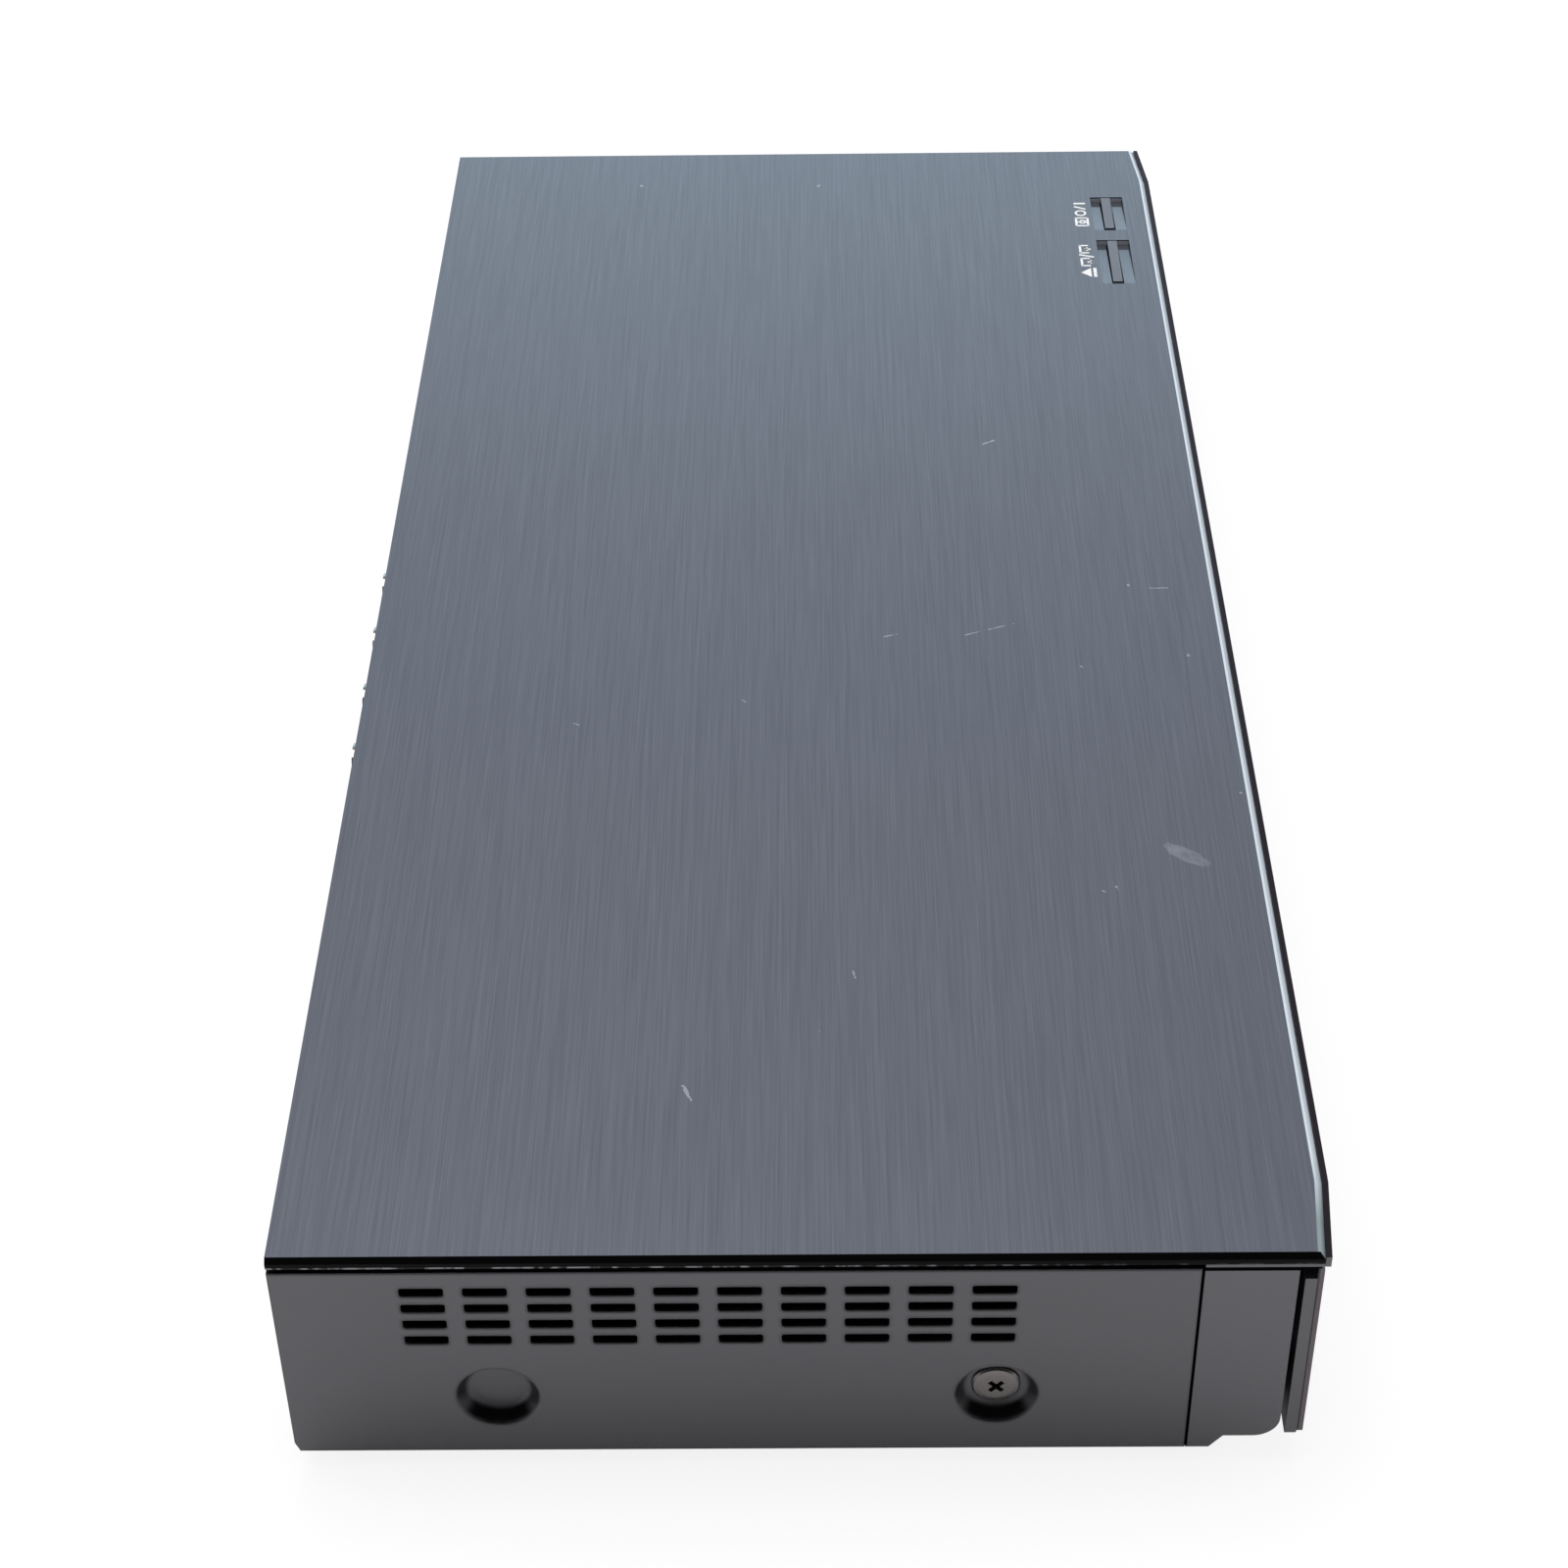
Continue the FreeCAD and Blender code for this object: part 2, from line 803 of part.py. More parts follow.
# Front frame: cheeks, top deck with the lip, front wall and bottom, with ears for the door's pins
frame_low = floor + of.frame_raise
cheek_top = top - of.cheek_drop
lip_low = top - of.lip_drop
deck_low = lip_low - of.deck_thick
wall_y = from_low(frame_front, of.frame_wall)
wall_back = wall_y[1]
step_y = frame_front + of.step_start
step_end = step_y + of.step_run
cheek_inner = half - of.cheek_thick
pivot = (frame_front - of.door_gap + of.pivot_back, frame_low + of.pivot_raise)
arm_mid = half - of.arm_inset
arm_x = (arm_mid - of.arm_thick / 2, arm_mid + of.arm_thick / 2)
slot_x = wider(arm_x, 2 * of.gap)
slot_reach = of.arm_round + 2 * of.gap
pin_x = (slot_x[0] - of.ear_thick, cheek_inner)
lip_edge = [
    (-half, front + of.bow), (-bow_start, front), (bow_start, front), (half, front + of.bow),
]
lip_inner = plate_front - of.seam

frame = part_body("FrameMoulding")
cheek = [
    (frame_back, floor), (frame_back, cheek_top), (frame_front, cheek_top), (frame_front, frame_low),
    (step_y, frame_low), (step_end, floor),
]
for span in both_sides((cheek_inner, half)):
    pad(frame, "yz", span, cheek)
pad(frame, "yz", (-cheek_inner, cheek_inner), [
    (frame_back, floor), (frame_back, floor + of.frame_wall), (step_end, floor + of.frame_wall),
    (step_y, frame_low + of.frame_wall), (wall_back, frame_low + of.frame_wall), (wall_back, deck_low),
    (frame_back, deck_low), (frame_back, cheek_top), (frame_front, cheek_top), (frame_front, frame_low),
    (step_y, frame_low), (step_end, floor),
])
pad(frame, "xy", (deck_low, lip_low), oblong((sheet_thick - half, half - sheet_thick),
                                             (frame_front, frame_back)))
pad(frame, "xy", (lip_low, plate_low), lip_edge + [(half, frame_back), (-half, frame_back)])
pad(frame, "xy", (plate_low, top - of.lip_step), lip_edge + [
    (half, lip_inner + of.bow), (bow_start, lip_inner), (-bow_start, lip_inner),
    (-half, lip_inner + of.bow),
])
dress(frame, "Fillet", of.frame_round, lambda p: near(p.y, frame_front) and near(p.z, frame_low))

mid_x = of.drive_inset - half
mid_line = (mid_x, mid_x)
tray_x = wider(mid_line, of.disc_recess + of.tray_margin)
drive_x = wider(tray_x, of.tray_side_gap)
display_x = from_low(drive_x[1] + of.display_inset, of.display_long)
display_z = from_low(of.display_low, of.display_high)
front_usb = (from_low(half - of.front_usb_inset, of.front_usb_wide),
             from_low(of.front_usb_low, of.front_usb_high))
card_z = from_low(of.card_low, of.card_high)
card_slot = (from_low(half - of.card_inset, of.card_wide), card_z)
access_slot = (from_low(drive_x[1] + of.access_inset, of.access_wide), card_z)
front_sockets = (front_usb, card_slot, access_slot)
magnet_end = half - of.magnet_inset
magnets_x = both_sides((magnet_end - of.magnet_long, magnet_end))
magnet_z = from_low(of.magnet_low, of.magnet_high)
switch_z = from_low(deck_low - of.switch_board_drop, of.board_thick)
switch_top = switch_z[1] + of.switch_high
switch_x = (buttons["eject"][0] - of.switch_board_reach, buttons["power"][1] + of.switch_board_reach)
switch_y = (wall_back + of.gap, button_y[1] + of.switch_post)

carriers = []
openings = [block(wider(tray_x, 2 * of.gap), wider(wall_y, OVER), (of.bezel_low, deck_low)),
            block(display_x, wider(wall_y, OVER), display_z)]
for ear_x in ((pin_x[0], slot_x[0]), (slot_x[1], pin_x[1])):
    for span in both_sides(ear_x):
        carriers.append(block(span, (wall_back, pivot[0] + slot_reach),
                              (frame_low + of.ear_raise, pivot[1] + slot_reach)))
for left in (switch_x[0], switch_x[1] - of.switch_post):
    carriers.append(block(from_low(left, of.switch_post), switch_y, (switch_z[1], deck_low)))
for x, z in front_sockets:
    openings.append(block(wider(x, of.gap), wider(wall_y, OVER), wider(z, of.gap)))
for span in both_sides(slot_x):
    openings.append(block(span, (frame_front - OVER, pivot[0] + slot_reach), (floor, pivot[1] + slot_reach)))
for span in both_sides(pin_x):
    openings.append(rod("x", pivot, of.pin_round, span))
for span in magnets_x:
    openings.append(block(span, wider(wall_y, OVER), magnet_z))
for bar_x in buttons.values():
    openings.append(block(wider(bar_x, of.gap), wider(button_y, of.gap), (deck_low - OVER, top)))
keep("front_frame", cut(fuse(frame, *carriers), *openings))

# Door: a moulded backing behind a clear front, hinged at the bottom on two pins
backing_back = frame_front - of.door_gap
backing_face = backing_back - of.backing_thick
window_face = backing_face - of.window_thick
backing_z = (frame_low + of.backing_raise, top - of.backing_drop)
window_z = (frame_low + of.window_raise, top - of.window_drop)
notch_z = (of.bezel_low - of.reveal, top)


def bowed(face):
    """The front of the door in plan, set back at both ends as the lip is."""
    return [(-half, face), (-bow_start, face - of.bow), (bow_start, face - of.bow), (half, face)]


backing = part_body("BackingMoulding")
pad(backing, "xy", backing_z, bowed(backing_face) + [(half, backing_back), (-half, backing_back)])
dress(backing, "Fillet", of.backing_round,
      lambda p: near(p.z, backing_z[0]) and not near(p.y, backing_back))
arms = []
holes = [
    block(wider(display_x, -of.display_margin), (window_face - of.bow, backing_back),
          wider(display_z, -of.display_margin / 2)),
    block(drive_x, (window_face - of.bow - OVER, backing_back), notch_z),
]
for span in both_sides(arm_x):
    arms.append(rod("x", pivot, of.arm_round, span))
    arms.append(block(span, (backing_back, pivot[0]), wider((pivot[1], pivot[1]), of.arm_round)))
    holes.append(rod("x", pivot, of.pin_round + of.fit, span))
keep("door_backing", cut(fuse(backing, *arms), *holes))

window = part_body("DoorWindow")
pad(window, "xy", window_z, bowed(window_face) + list(reversed(bowed(backing_face))))
dress(window, "Chamfer", of.window_bevel,
      lambda p: near(p.z, window_z[1]) and p.y < number_of(backing_face - of.bow) - 0.1)
pocket(window, "xz", (window_face - of.bow - OVER, backing_face), oblong(drive_x, notch_z))
keep("door_window", window)
keep("door_pins", group(*[rod("x", pivot, of.pin_round, span) for span in both_sides(pin_x)]))
magnet_y = (frame_front + of.seam, wall_back)
keep("door_magnets", group(*[block(span, magnet_y, magnet_z) for span in magnets_x]))

# Top buttons: a bar that shows, a flange under the deck and a plunger over its switch
flange_top = deck_low - of.gap
flange_z = (flange_top - of.flange_thick, flange_top)
plunger_z = (switch_top + of.button_travel + of.gap, flange_top)
switches = []
for name, bar_x in buttons.items():
    middle = (bar_x[0] + bar_x[1]) / 2
    keep(name + "_button", fuse(
        block(bar_x, button_y, (flange_z[0], top)),
        block(wider(bar_x, of.flange_reach), wider(button_y, of.flange_reach), flange_z),
        block(wider((middle, middle), of.plunger_long / 2), button_y, plunger_z),
    ))
    switches.append(block(wider((middle, middle), of.switch_wide / 2),
                          (switch_y[0], switch_y[0] + of.switch_wide), (switch_z[1], switch_top)))
keep("switch_board", fuse(block(switch_x, switch_y, switch_z), *switches))

# Bottom chassis: a steel tray with side flanges, screw tabs and posts for the drive, disk and boards
chassis_half = inner_half - of.seam
panel_face = back - sheet_thick
panel_back = panel_face - sheet_thick
chassis_floor = floor + sheet_thick
flange_inner = chassis_half - sheet_thick
disk_x = from_low(drive_x[1] + of.disk_gap, of.disk_long)
disk_y = from_low(of.disk_front, of.disk_wide)
power_right = inner_half - of.board_gap
power_x = (power_right - of.power_wide, power_right)
main_x = (drive_x[1] + of.main_gap, power_x[0] - of.board_gap)
main_y = (of.main_front, panel_back)
power_y = from_low(of.power_front, of.power_deep)


def corners(x, y, inset):
    return [(across, along) for across in wider(x, -inset) for along in wider(y, -inset)]


disk_posts = corners(disk_x, (cover_front + of.disk_post_inset, disk_y[1]), of.disk_post_inset)
board_posts = corners(main_x, (main_y[0], of.main_post_back + of.post_inset), of.post_inset)
board_posts += corners(power_x, (cover_front, power_y[1]), of.post_inset)
drive_posts = corners(drive_x, (cover_front, of.drive_back), of.drive_post_inset)
chassis = part_body("ChassisTray")
pad(chassis, "xz", (cover_front, panel_back), [
    (-chassis_half, floor), (chassis_half, floor), (chassis_half, floor + of.flange_high),
    (flange_inner, floor + of.flange_high), (flange_inner, chassis_floor),
    (-flange_inner, chassis_floor), (-flange_inner, floor + of.flange_high),
    (-chassis_half, floor + of.flange_high),
])
posts = [rod("z", place, of.drive_post_round, (chassis_floor, of.drive_low)) for place in drive_posts]
posts += [rod("z", place, of.post_round, (chassis_floor, of.disk_low)) for place in disk_posts]
posts += [rod("z", place, of.post_round, (chassis_floor, of.board_high)) for place in board_posts]
tab_holes = []
for span in both_sides((dimple_inner - 2 * sheet_thick, dimple_inner - sheet_thick)):
    for row in dimple_rows:
        posts.append(block(span, wider((row, row), of.tab_half), (chassis_floor, dimple_high + of.tab_raise)))
        tab_holes.append(rod("x", (row, dimple_high), of.screw_shank / 2, span))
keep("bottom_chassis", cut(fuse(chassis, *posts), *tab_holes))

# Feet: four plastic discs with a rubber pad let into each
feet = []
pads = []
foot_x = half - of.foot_side_inset
foot_y = (cover_front + of.foot_front_inset, back - of.foot_rear_inset)
for place in ((x, y) for x in (-foot_x, foot_x) for y in foot_y):
    feet.append(cut(rod("z", place, of.foot_round, (of.foot_lift, floor)),
                    rod("z", place, of.pad_round, (0 * floor, of.pad_thick))))
    pads.append(rod("z", place, of.pad_round, (0 * floor, of.pad_thick)))
keep("feet", group(*feet))
keep("foot_pads", group(*pads))

# Rear panel with its cut-outs
board_top = of.board_high + of.board_thick
coax_x = [main_x[0] + of.coax_inset + of.coax_pitch * number for number in range(SIZES["coax_count"])]
jack_x = [main_x[1] - of.jack_inset + of.jack_pitch * number for number in range(SIZES["jack_count"])]
fan_z = from_low(of.fan_low, of.fan_wide)
fan_mid = (half - of.fan_inset, of.fan_low + of.fan_wide / 2)
fan_line = (fan_mid[0], fan_mid[0])
fan_x = wider(fan_line, of.fan_wide / 2)
hdmi = (from_low(main_x[1] - of.hdmi_inset, of.hdmi_wide), from_low(board_top, of.hdmi_high))
lan = (from_low(main_x[1] - of.lan_inset, of.lan_wide), from_low(board_top, of.lan_high))
inlet = (from_low(half - of.inlet_inset, of.inlet_wide), from_low(board_top, of.inlet_high))
panel_y = wider((panel_back, panel_face), OVER)
cutouts = [rod("y", (x, of.coax_high), of.coax_round + of.gap, panel_y) for x in coax_x]
cutouts += [rod("y", (x, of.coax_high), of.jack_round + of.gap, panel_y) for x in jack_x]
cutouts += [block(wider(x, of.gap), panel_y, wider(z, of.gap)) for x, z in (hdmi, lan, inlet)]
for number in range(SIZES["grille_rows"]):
    step = number - (SIZES["grille_rows"] - 1) / 2
    reach = of.grille_half - of.grille_taper * abs(step)
    row = fan_mid[1] + of.grille_step * step
    cutouts.append(block(wider(fan_line, reach), panel_y, wider((row, row), of.grille_slot / 2)))
for number in range(SIZES["louvre_count"]):
    left = drive_x[0] + of.louvre_inset + of.louvre_pitch * number
    cutouts.append(block(from_low(left, of.louvre_wide), panel_y, from_low(of.louvre_low, of.louvre_high)))
panel = block((-chassis_half, chassis_half), (panel_back, panel_face),
              (floor, cover_top - sheet_thick - of.seam))
keep("rear_panel", cut(panel, *cutouts))

# Rear sockets: each stands on the main board and looks out through the panel
socket_face = panel_face + of.rear_socket_proud


def rear_shell(place, deep, wall):
    x, z = place
    y = (socket_face - deep, socket_face)
    return cut(block(x, y, z), block(wider(x, -wall), (y[0] + wall, y[1] + OVER), wider(z, -wall)))


def front_shell(place, deep, wall):
    x, z = place
    y = from_low(frame_front + of.socket_set_back, deep)
    return cut(block(x, y, z), block(wider(x, -wall), (y[0] - OVER, y[1] - of.socket_end), wider(z, -wall)))


keep("tuner_can", block((main_x[0] + of.ear_thick / 2, coax_x[-1] + of.tuner_margin),
                        (panel_back - of.tuner_deep, panel_back), from_low(board_top, of.tuner_high)))
tip = back + of.connector_reach
connectors = []
for x in coax_x:
    centre = (x, of.coax_high)
    body = fuse(rod("y", centre, of.coax_round, (panel_back, tip)),
                rod("y", centre, of.coax_round + of.coax_nut, from_low(panel_face, of.coax_nut)))
    bore = rod("y", centre, of.coax_round - of.coax_wall, (back, tip))
    core = rod("y", centre, of.coax_round - 2 * of.coax_wall, (back, tip - of.coax_wall))
    connectors.append(cut(fuse(cut(body, bore), core), rod("y", centre, of.coax_contact, (back, tip))))
keep("aerial_connectors", group(*connectors))
hdmi_tongue = block(wider(hdmi[0], -2 * of.socket_wall),
                    (socket_face - of.hdmi_deep, socket_face - of.hdmi_wall),
                    wider(hdmi[1], (of.socket_wall - of.hdmi_high) / 2))
keep("hdmi_socket", fuse(rear_shell(hdmi, of.hdmi_deep, of.hdmi_wall), hdmi_tongue))
keep("lan_socket", rear_shell(lan, of.lan_deep, of.lan_wall))
jack_margin = of.jack_pitch / 2
jack_block = block((jack_x[0] - jack_margin, jack_x[-1] + jack_margin - of.gap),
                   (panel_back - of.jack_block_deep, panel_back), from_low(board_top, of.jack_block_high))
jack_y = from_low(panel_face, of.jack_long)
barrels = [rod("y", (x, of.coax_high), of.jack_round, (panel_back, jack_y[1])) for x in jack_x]
keep("av_jacks", cut(fuse(jack_block, *barrels),
                     *[rod("y", (x, of.coax_high), of.jack_bore, jack_y) for x in jack_x]))
inlet_mid = (inlet[0][0] + inlet[0][1]) / 2
inlet_level = board_top + of.inlet_high / 2
inlet_y = (socket_face - of.inlet_deep, socket_face)
hole_y = (inlet_y[0] + of.inlet_wall, inlet_y[1] + OVER)
pin_places = [(x, inlet_level) for x in wider((inlet_mid, inlet_mid), of.inlet_pitch / 2)]
inlet_hole = fuse(
    *[rod("y", place, of.inlet_hole, hole_y) for place in pin_places],
    block(wider((inlet_mid, inlet_mid), of.inlet_pitch / 2), hole_y,
          wider((inlet_level, inlet_level), of.inlet_hole - of.socket_wall)),
)
inlet_pins = [rod("y", place, of.inlet_pin, (hole_y[0], panel_face - of.socket_wall)) for place in pin_places]
keep("mains_inlet", fuse(cut(block(inlet[0], inlet_y, inlet[1]), inlet_hole), *inlet_pins))

# Fan behind the rear panel: a square frame with a round hole, and a bladed rotor on a pin
fan_y = (panel_back - of.fan_thick, panel_back)
strut_y = (fan_y[1] - of.strut_thick, fan_y[1])
fan_hole = of.fan_wide / 2 - of.fan_wall
fan_level = wider((fan_mid[1], fan_mid[1]), of.strut_wide / 2)
rotor_y = (fan_y[0] + of.fan_wall / 2, strut_y[0] - of.gap)
rotor_bore = (rotor_y[0] + of.fan_wall, rotor_y[1])
keep("fan_frame", fuse(
    cut(block(fan_x, fan_y, fan_z), rod("y", fan_mid, fan_hole, wider(fan_y, OVER))),
    block(wider(fan_line, of.strut_wide / 2), strut_y, wider(fan_z, -of.fan_wall / 2)),
    block(wider(fan_x, -of.fan_wall / 2), strut_y, fan_level),
    rod("y", fan_mid, of.fan_hub, strut_y),
    rod("y", fan_mid, of.gear_pin, (rotor_bore[0] + of.gap, fan_y[1])),
))


def fan_blades():
    """Flat blades round the hub, each turned on its own length, about the Y axis."""
    inner = SIZES["fan_hub"] - 1
    outer = number_of(fan_hole) - SIZES["blade_thick"]
    blades = []
    for number in range(SIZES["fan_blades"]):
        corner = Vector(-SIZES["blade_thick"] / 2, -SIZES["blade_wide"] / 2, inner)
        blade = Part.makeBox(SIZES["blade_thick"], SIZES["blade_wide"], outer - inner, corner)
        blade.rotate(Vector(), Vector(0, 0, 1), SIZES["blade_turn"])
        blade.rotate(Vector(), Vector(0, 1, 0), 360.0 * number / SIZES["fan_blades"])
        blades.append(blade)
    return Part.makeCompound(blades)


rotor_mid = (rotor_y[0] + rotor_y[1]) / 2
blades = shaped("Blades", fan_blades(), fan_mid[0], rotor_mid, fan_mid[1])
keep("fan_rotor", cut(fuse(rod("y", fan_mid, of.fan_hub, rotor_y), blades),
                      rod("y", fan_mid, of.gear_pin + of.fit, rotor_bore)))

# Boards and what stands on them
board_z = (of.board_high, board_top)


def soldered(chips, cans, left, line):
    parts = []
    for name in chips:
        across, behind, wide, deep, high = [getattr(of, name + word) for word in
                                            ("_across", "_behind", "_wide", "_deep", "_high")]
        parts.append(block(from_low(left + across, wide), from_low(line + behind, deep),
                           from_low(board_top, high)))
    for name in cans:
        across, behind, radius, high = [getattr(of, name + word) for word in
                                        ("_across", "_behind", "_round", "_high")]
        parts.append(rod("z", (left + across, line + behind), radius, from_low(board_top, high)))
    return parts


post_holes = [rod("z", place, of.post_round + of.gap, wider(board_z, OVER)) for place in disk_posts]
main_parts = (soldered(MAIN_CHIPS, {}, main_x[0], disk_y[1])
              + soldered({}, MAIN_CANS, main_x[0], main_y[1]))
keep("main_board", fuse(cut(block(main_x, main_y, board_z), *post_holes), *main_parts))
power_parts = soldered(POWER_CHIPS, POWER_CANS, power_x[0], power_y[0])
keep("power_board", fuse(block(power_x, power_y, board_z), *power_parts))
sink_low = board_top + of.processor_high
sink_left = main_x[0] + of.sink_inset
sink_y = from_low(disk_y[1] + of.sink_gap, of.sink_deep)
fin_pitch = (of.sink_wide - of.fin_thick) / (of.fin_count - 1)
fins = [block(from_low(sink_left + fin_pitch * number, of.fin_thick), sink_y,
              from_low(sink_low, of.sink_high)) for number in range(SIZES["fin_count"])]
keep("heat_sink", fuse(block(from_low(sink_left, of.sink_wide), sink_y, from_low(sink_low, of.sink_base)),
                       *fins))
core_x = from_low(power_x[0] + of.core_inset, of.core_wide)
core_y = from_low(power_y[0] + of.core_behind, of.core_deep)
core_z = from_low(board_top, of.core_high)
keep("transformer", fuse(
    block(core_x, wider(core_y, -of.core_shoulder), core_z),
    block(wider(core_x, -of.core_shoulder), core_y, wider(core_z, -of.core_shoulder / 2)),
))
ribbon_y = from_low(of.ribbon_front, of.ribbon_wide)
ribbon_high = board_top + of.ribbon_raise
ribbon_end = (drive_x[1], main_x[0] + of.drive_post_round)
keep("ribbon_cables", fuse(
    block(ribbon_end, ribbon_y, from_low(ribbon_high, of.ribbon_thick)),
    block((ribbon_end[1] - of.ribbon_thick, ribbon_end[1]), ribbon_y,
          (board_top, ribbon_high + of.ribbon_thick)),
))

# Display board with the display, and the sockets that open through the front wall
front_board_y = from_low(wall_back + of.front_board_gap, of.board_thick)
board_holes = [block(wider(x, of.gap), wider(front_board_y, OVER), wider(z, of.gap))
               for x, z in front_sockets]
front_board_x = (display_x[0], front_usb[0][1] + of.front_board_end)
keep("front_board", cut(block(front_board_x, front_board_y,
                              from_low(of.front_board_low, of.front_board_high)), *board_holes))
keep("display", block(wider(display_x, -of.gap), (frame_front + of.display_set_back, front_board_y[0]),
                      wider(display_z, -of.gap)))
usb_x, usb_z = front_usb
usb_front = frame_front + of.socket_set_back
keep("front_usb_socket", fuse(
    front_shell(front_usb, of.front_usb_deep, of.socket_wall / 2),
    block(wider(usb_x, -2 * of.socket_wall), (usb_front + of.socket_wall, usb_front + of.front_usb_deep),
          (usb_z[1] - 2 * of.usb_tongue, usb_z[1] - of.usb_tongue)),
))
keep("memory_card_socket", front_shell(card_slot, of.card_deep, of.socket_wall))
keep("access_card_socket", front_shell(access_slot, of.access_deep, of.socket_wall))

# Disc drive frame: a tub with tray guides, gear pins, the slider's channel and the traverse's ears
drive_y = (of.drive_front, of.drive_back)
inner_x = wider(drive_x, -of.drive_wall)
inner_y = wider(drive_y, -of.drive_wall)
drive_floor = of.drive_low + of.drive_wall
drive_rim = of.drive_top - of.gap
ledge_top = of.tray_low - of.gap
ledge_low = ledge_top - of.ledge_thick
rack_x = mid_x + of.rack_side
gear_place = (rack_x - of.gear_module * of.gear_teeth / 2, of.gear_row)
pinion_place = (gear_place[0] - of.gear_module * (of.gear_teeth + of.pinion_teeth) / 2, of.gear_row)
motor_place = (pinion_place[0] - of.belt_spacing, of.gear_row)
spindle = (mid_x, of.spindle_row)
traverse_x = wider(mid_line, of.traverse_half)
slider_y = from_low(of.slider_front, of.slider_thick)
trunnion = (of.traverse_pivot, of.traverse_pivot_high)
trunnion_x = wider(traverse_x, of.trunnion_long)
pin_bore = of.gear_pin + of.fit
gear_top = of.tray_low - of.gap
pinion_top = of.gear_low + of.pinion_high
guide_y = (drive_y[0], inner_y[1])
tub = cut(
    block(drive_x, drive_y, (of.drive_low, drive_rim)),
    block(inner_x, inner_y, (drive_floor, drive_rim + OVER)),
    block(inner_x, wider((drive_y[0], inner_y[0]), OVER), (of.rack_low - of.gap, drive_rim + OVER)),
    block(wider(mid_line, of.drive_window_half), (of.drive_window_front, of.drive_window_back),
          (of.drive_low - OVER, drive_floor + OVER)),
)
fittings = [
    block((inner_x[0], tray_x[0] - 2 * of.gap), guide_y, (ledge_low, drive_rim)),
    block((tray_x[1] + 2 * of.gap, inner_x[1]), guide_y, (ledge_low, drive_rim)),
    block((inner_x[0], tray_x[0] + of.ledge_reach), guide_y, (ledge_low, ledge_top)),
    block((tray_x[1] - of.ledge_reach, inner_x[1]), guide_y, (ledge_low, ledge_top)),
    rod("z", gear_place, of.gear_boss, (drive_floor, of.pulley_low - of.gap)),
    rod("z", gear_place, of.gear_collar, (drive_floor, of.gear_low - of.gap)),
    rod("z", gear_place, of.gear_pin, (drive_floor, gear_top)),
    rod("z", pinion_place, of.gear_boss, (drive_floor, of.pulley_low - of.gap)),
    rod("z", pinion_place, of.gear_pin, (drive_floor, pinion_top)),
]
ear_y = wider((trunnion[0], trunnion[0]), of.trunnion_ear)
ear_z = (drive_floor, trunnion[1] + of.trunnion_ear)
fittings.append(block((inner_x[0], traverse_x[0] - of.gap), ear_y, ear_z))
fittings.append(block((traverse_x[1] + of.gap, inner_x[1]), ear_y, ear_z))
channel_x = wider(traverse_x, of.gap)
channel_top = of.slider_low + of.channel_high
channel = cut(
    block(channel_x, wider(slider_y, of.gap + of.channel_wall), (drive_floor, channel_top)),
    block(wider(channel_x, OVER), wider(slider_y, of.gap), (of.slider_low - of.gap, channel_top + OVER)),
)
keep("drive_frame", cut(fuse(tub, channel, *fittings),
                        rod("x", trunnion, of.trunnion_round + of.fit, wider(trunnion_x, of.gap))))

# Drive cover: a steel lid over the drive with the round hole that the clamper hangs in
lid_x = wider(drive_x, sheet_thick)
lid_z = from_low(of.drive_top, sheet_thick)
skirt_low = lid_z[0] - of.drive_skirt
lid = part_body("LidSheet")
pad(lid, "xz", (drive_y[0] + of.drive_wall / 2, drive_y[1]), [
    (lid_x[0], skirt_low), (drive_x[0], skirt_low), (drive_x[0], lid_z[0]), (drive_x[1], lid_z[0]),
    (drive_x[1], skirt_low), (lid_x[1], skirt_low), (lid_x[1], lid_z[1]), (lid_x[0], lid_z[1]),
])
keep("drive_cover", cut(lid, rod("z", spindle, of.clamper_neck + 2 * of.gap, wider(lid_z, OVER))))
clamper_low = of.disc_seat + of.clamper_raise
clamper_top = lid_z[1] + of.clamper_raise
keep("clamper", cut(
    fuse(
        rod("z", spindle, of.clamper_round, (clamper_low, lid_z[0] - 2 * of.gap)),
        rod("z", spindle, of.clamper_neck, (clamper_low, clamper_top)),
        rod("z", spindle, of.clamper_neck + of.clamper_flange, (lid_z[1] + of.gap, clamper_top)),
    ),
    rod("z", spindle, of.cone_round + 2 * of.gap, (of.disc_seat, of.disc_seat + of.cone_high + 2 * of.gap)),
))

# Tray: a slab with its disc recess, open to the back round the spindle, with rails and a rack
module = SIZES["gear_module"]
pitch = math.pi * module
DEPTH = 1.25
HEIGHT = 0.9
SLOPE = math.tan(math.radians(20))


def rack_half(level):
    """Half a rack tooth's thickness at a height above its pitch line, in modules."""
    return pitch / 4 - SIZES["backlash"] / 4 - level * module * SLOPE


def rack_face():
    """The rack seen from above: teeth towards -X, a pitch apart, one of them in line with the gear."""
    line = number_of(rack_x)
    root = line + DEPTH * module
    crest = line - HEIGHT * module
    before = int((SIZES["gear_row"] - SIZES["rack_front"]) / pitch)
    points = []
    for number in range(int((SIZES["rack_back"] - SIZES["rack_front"]) / pitch)):
        middle = SIZES["gear_row"] + pitch * (number - before)
        points += [
            (root, middle - rack_half(-DEPTH)), (crest, middle - rack_half(HEIGHT)),
            (crest, middle + rack_half(HEIGHT)), (root, middle + rack_half(-DEPTH)),
        ]
    edge = root + SIZES["rack_rib"]
    points += [(edge, points[-1][1]), (edge, points[0][1])]
    return Part.Face(Part.makePolygon([Vector(x, y, 0) for x, y in points + points[:1]]))


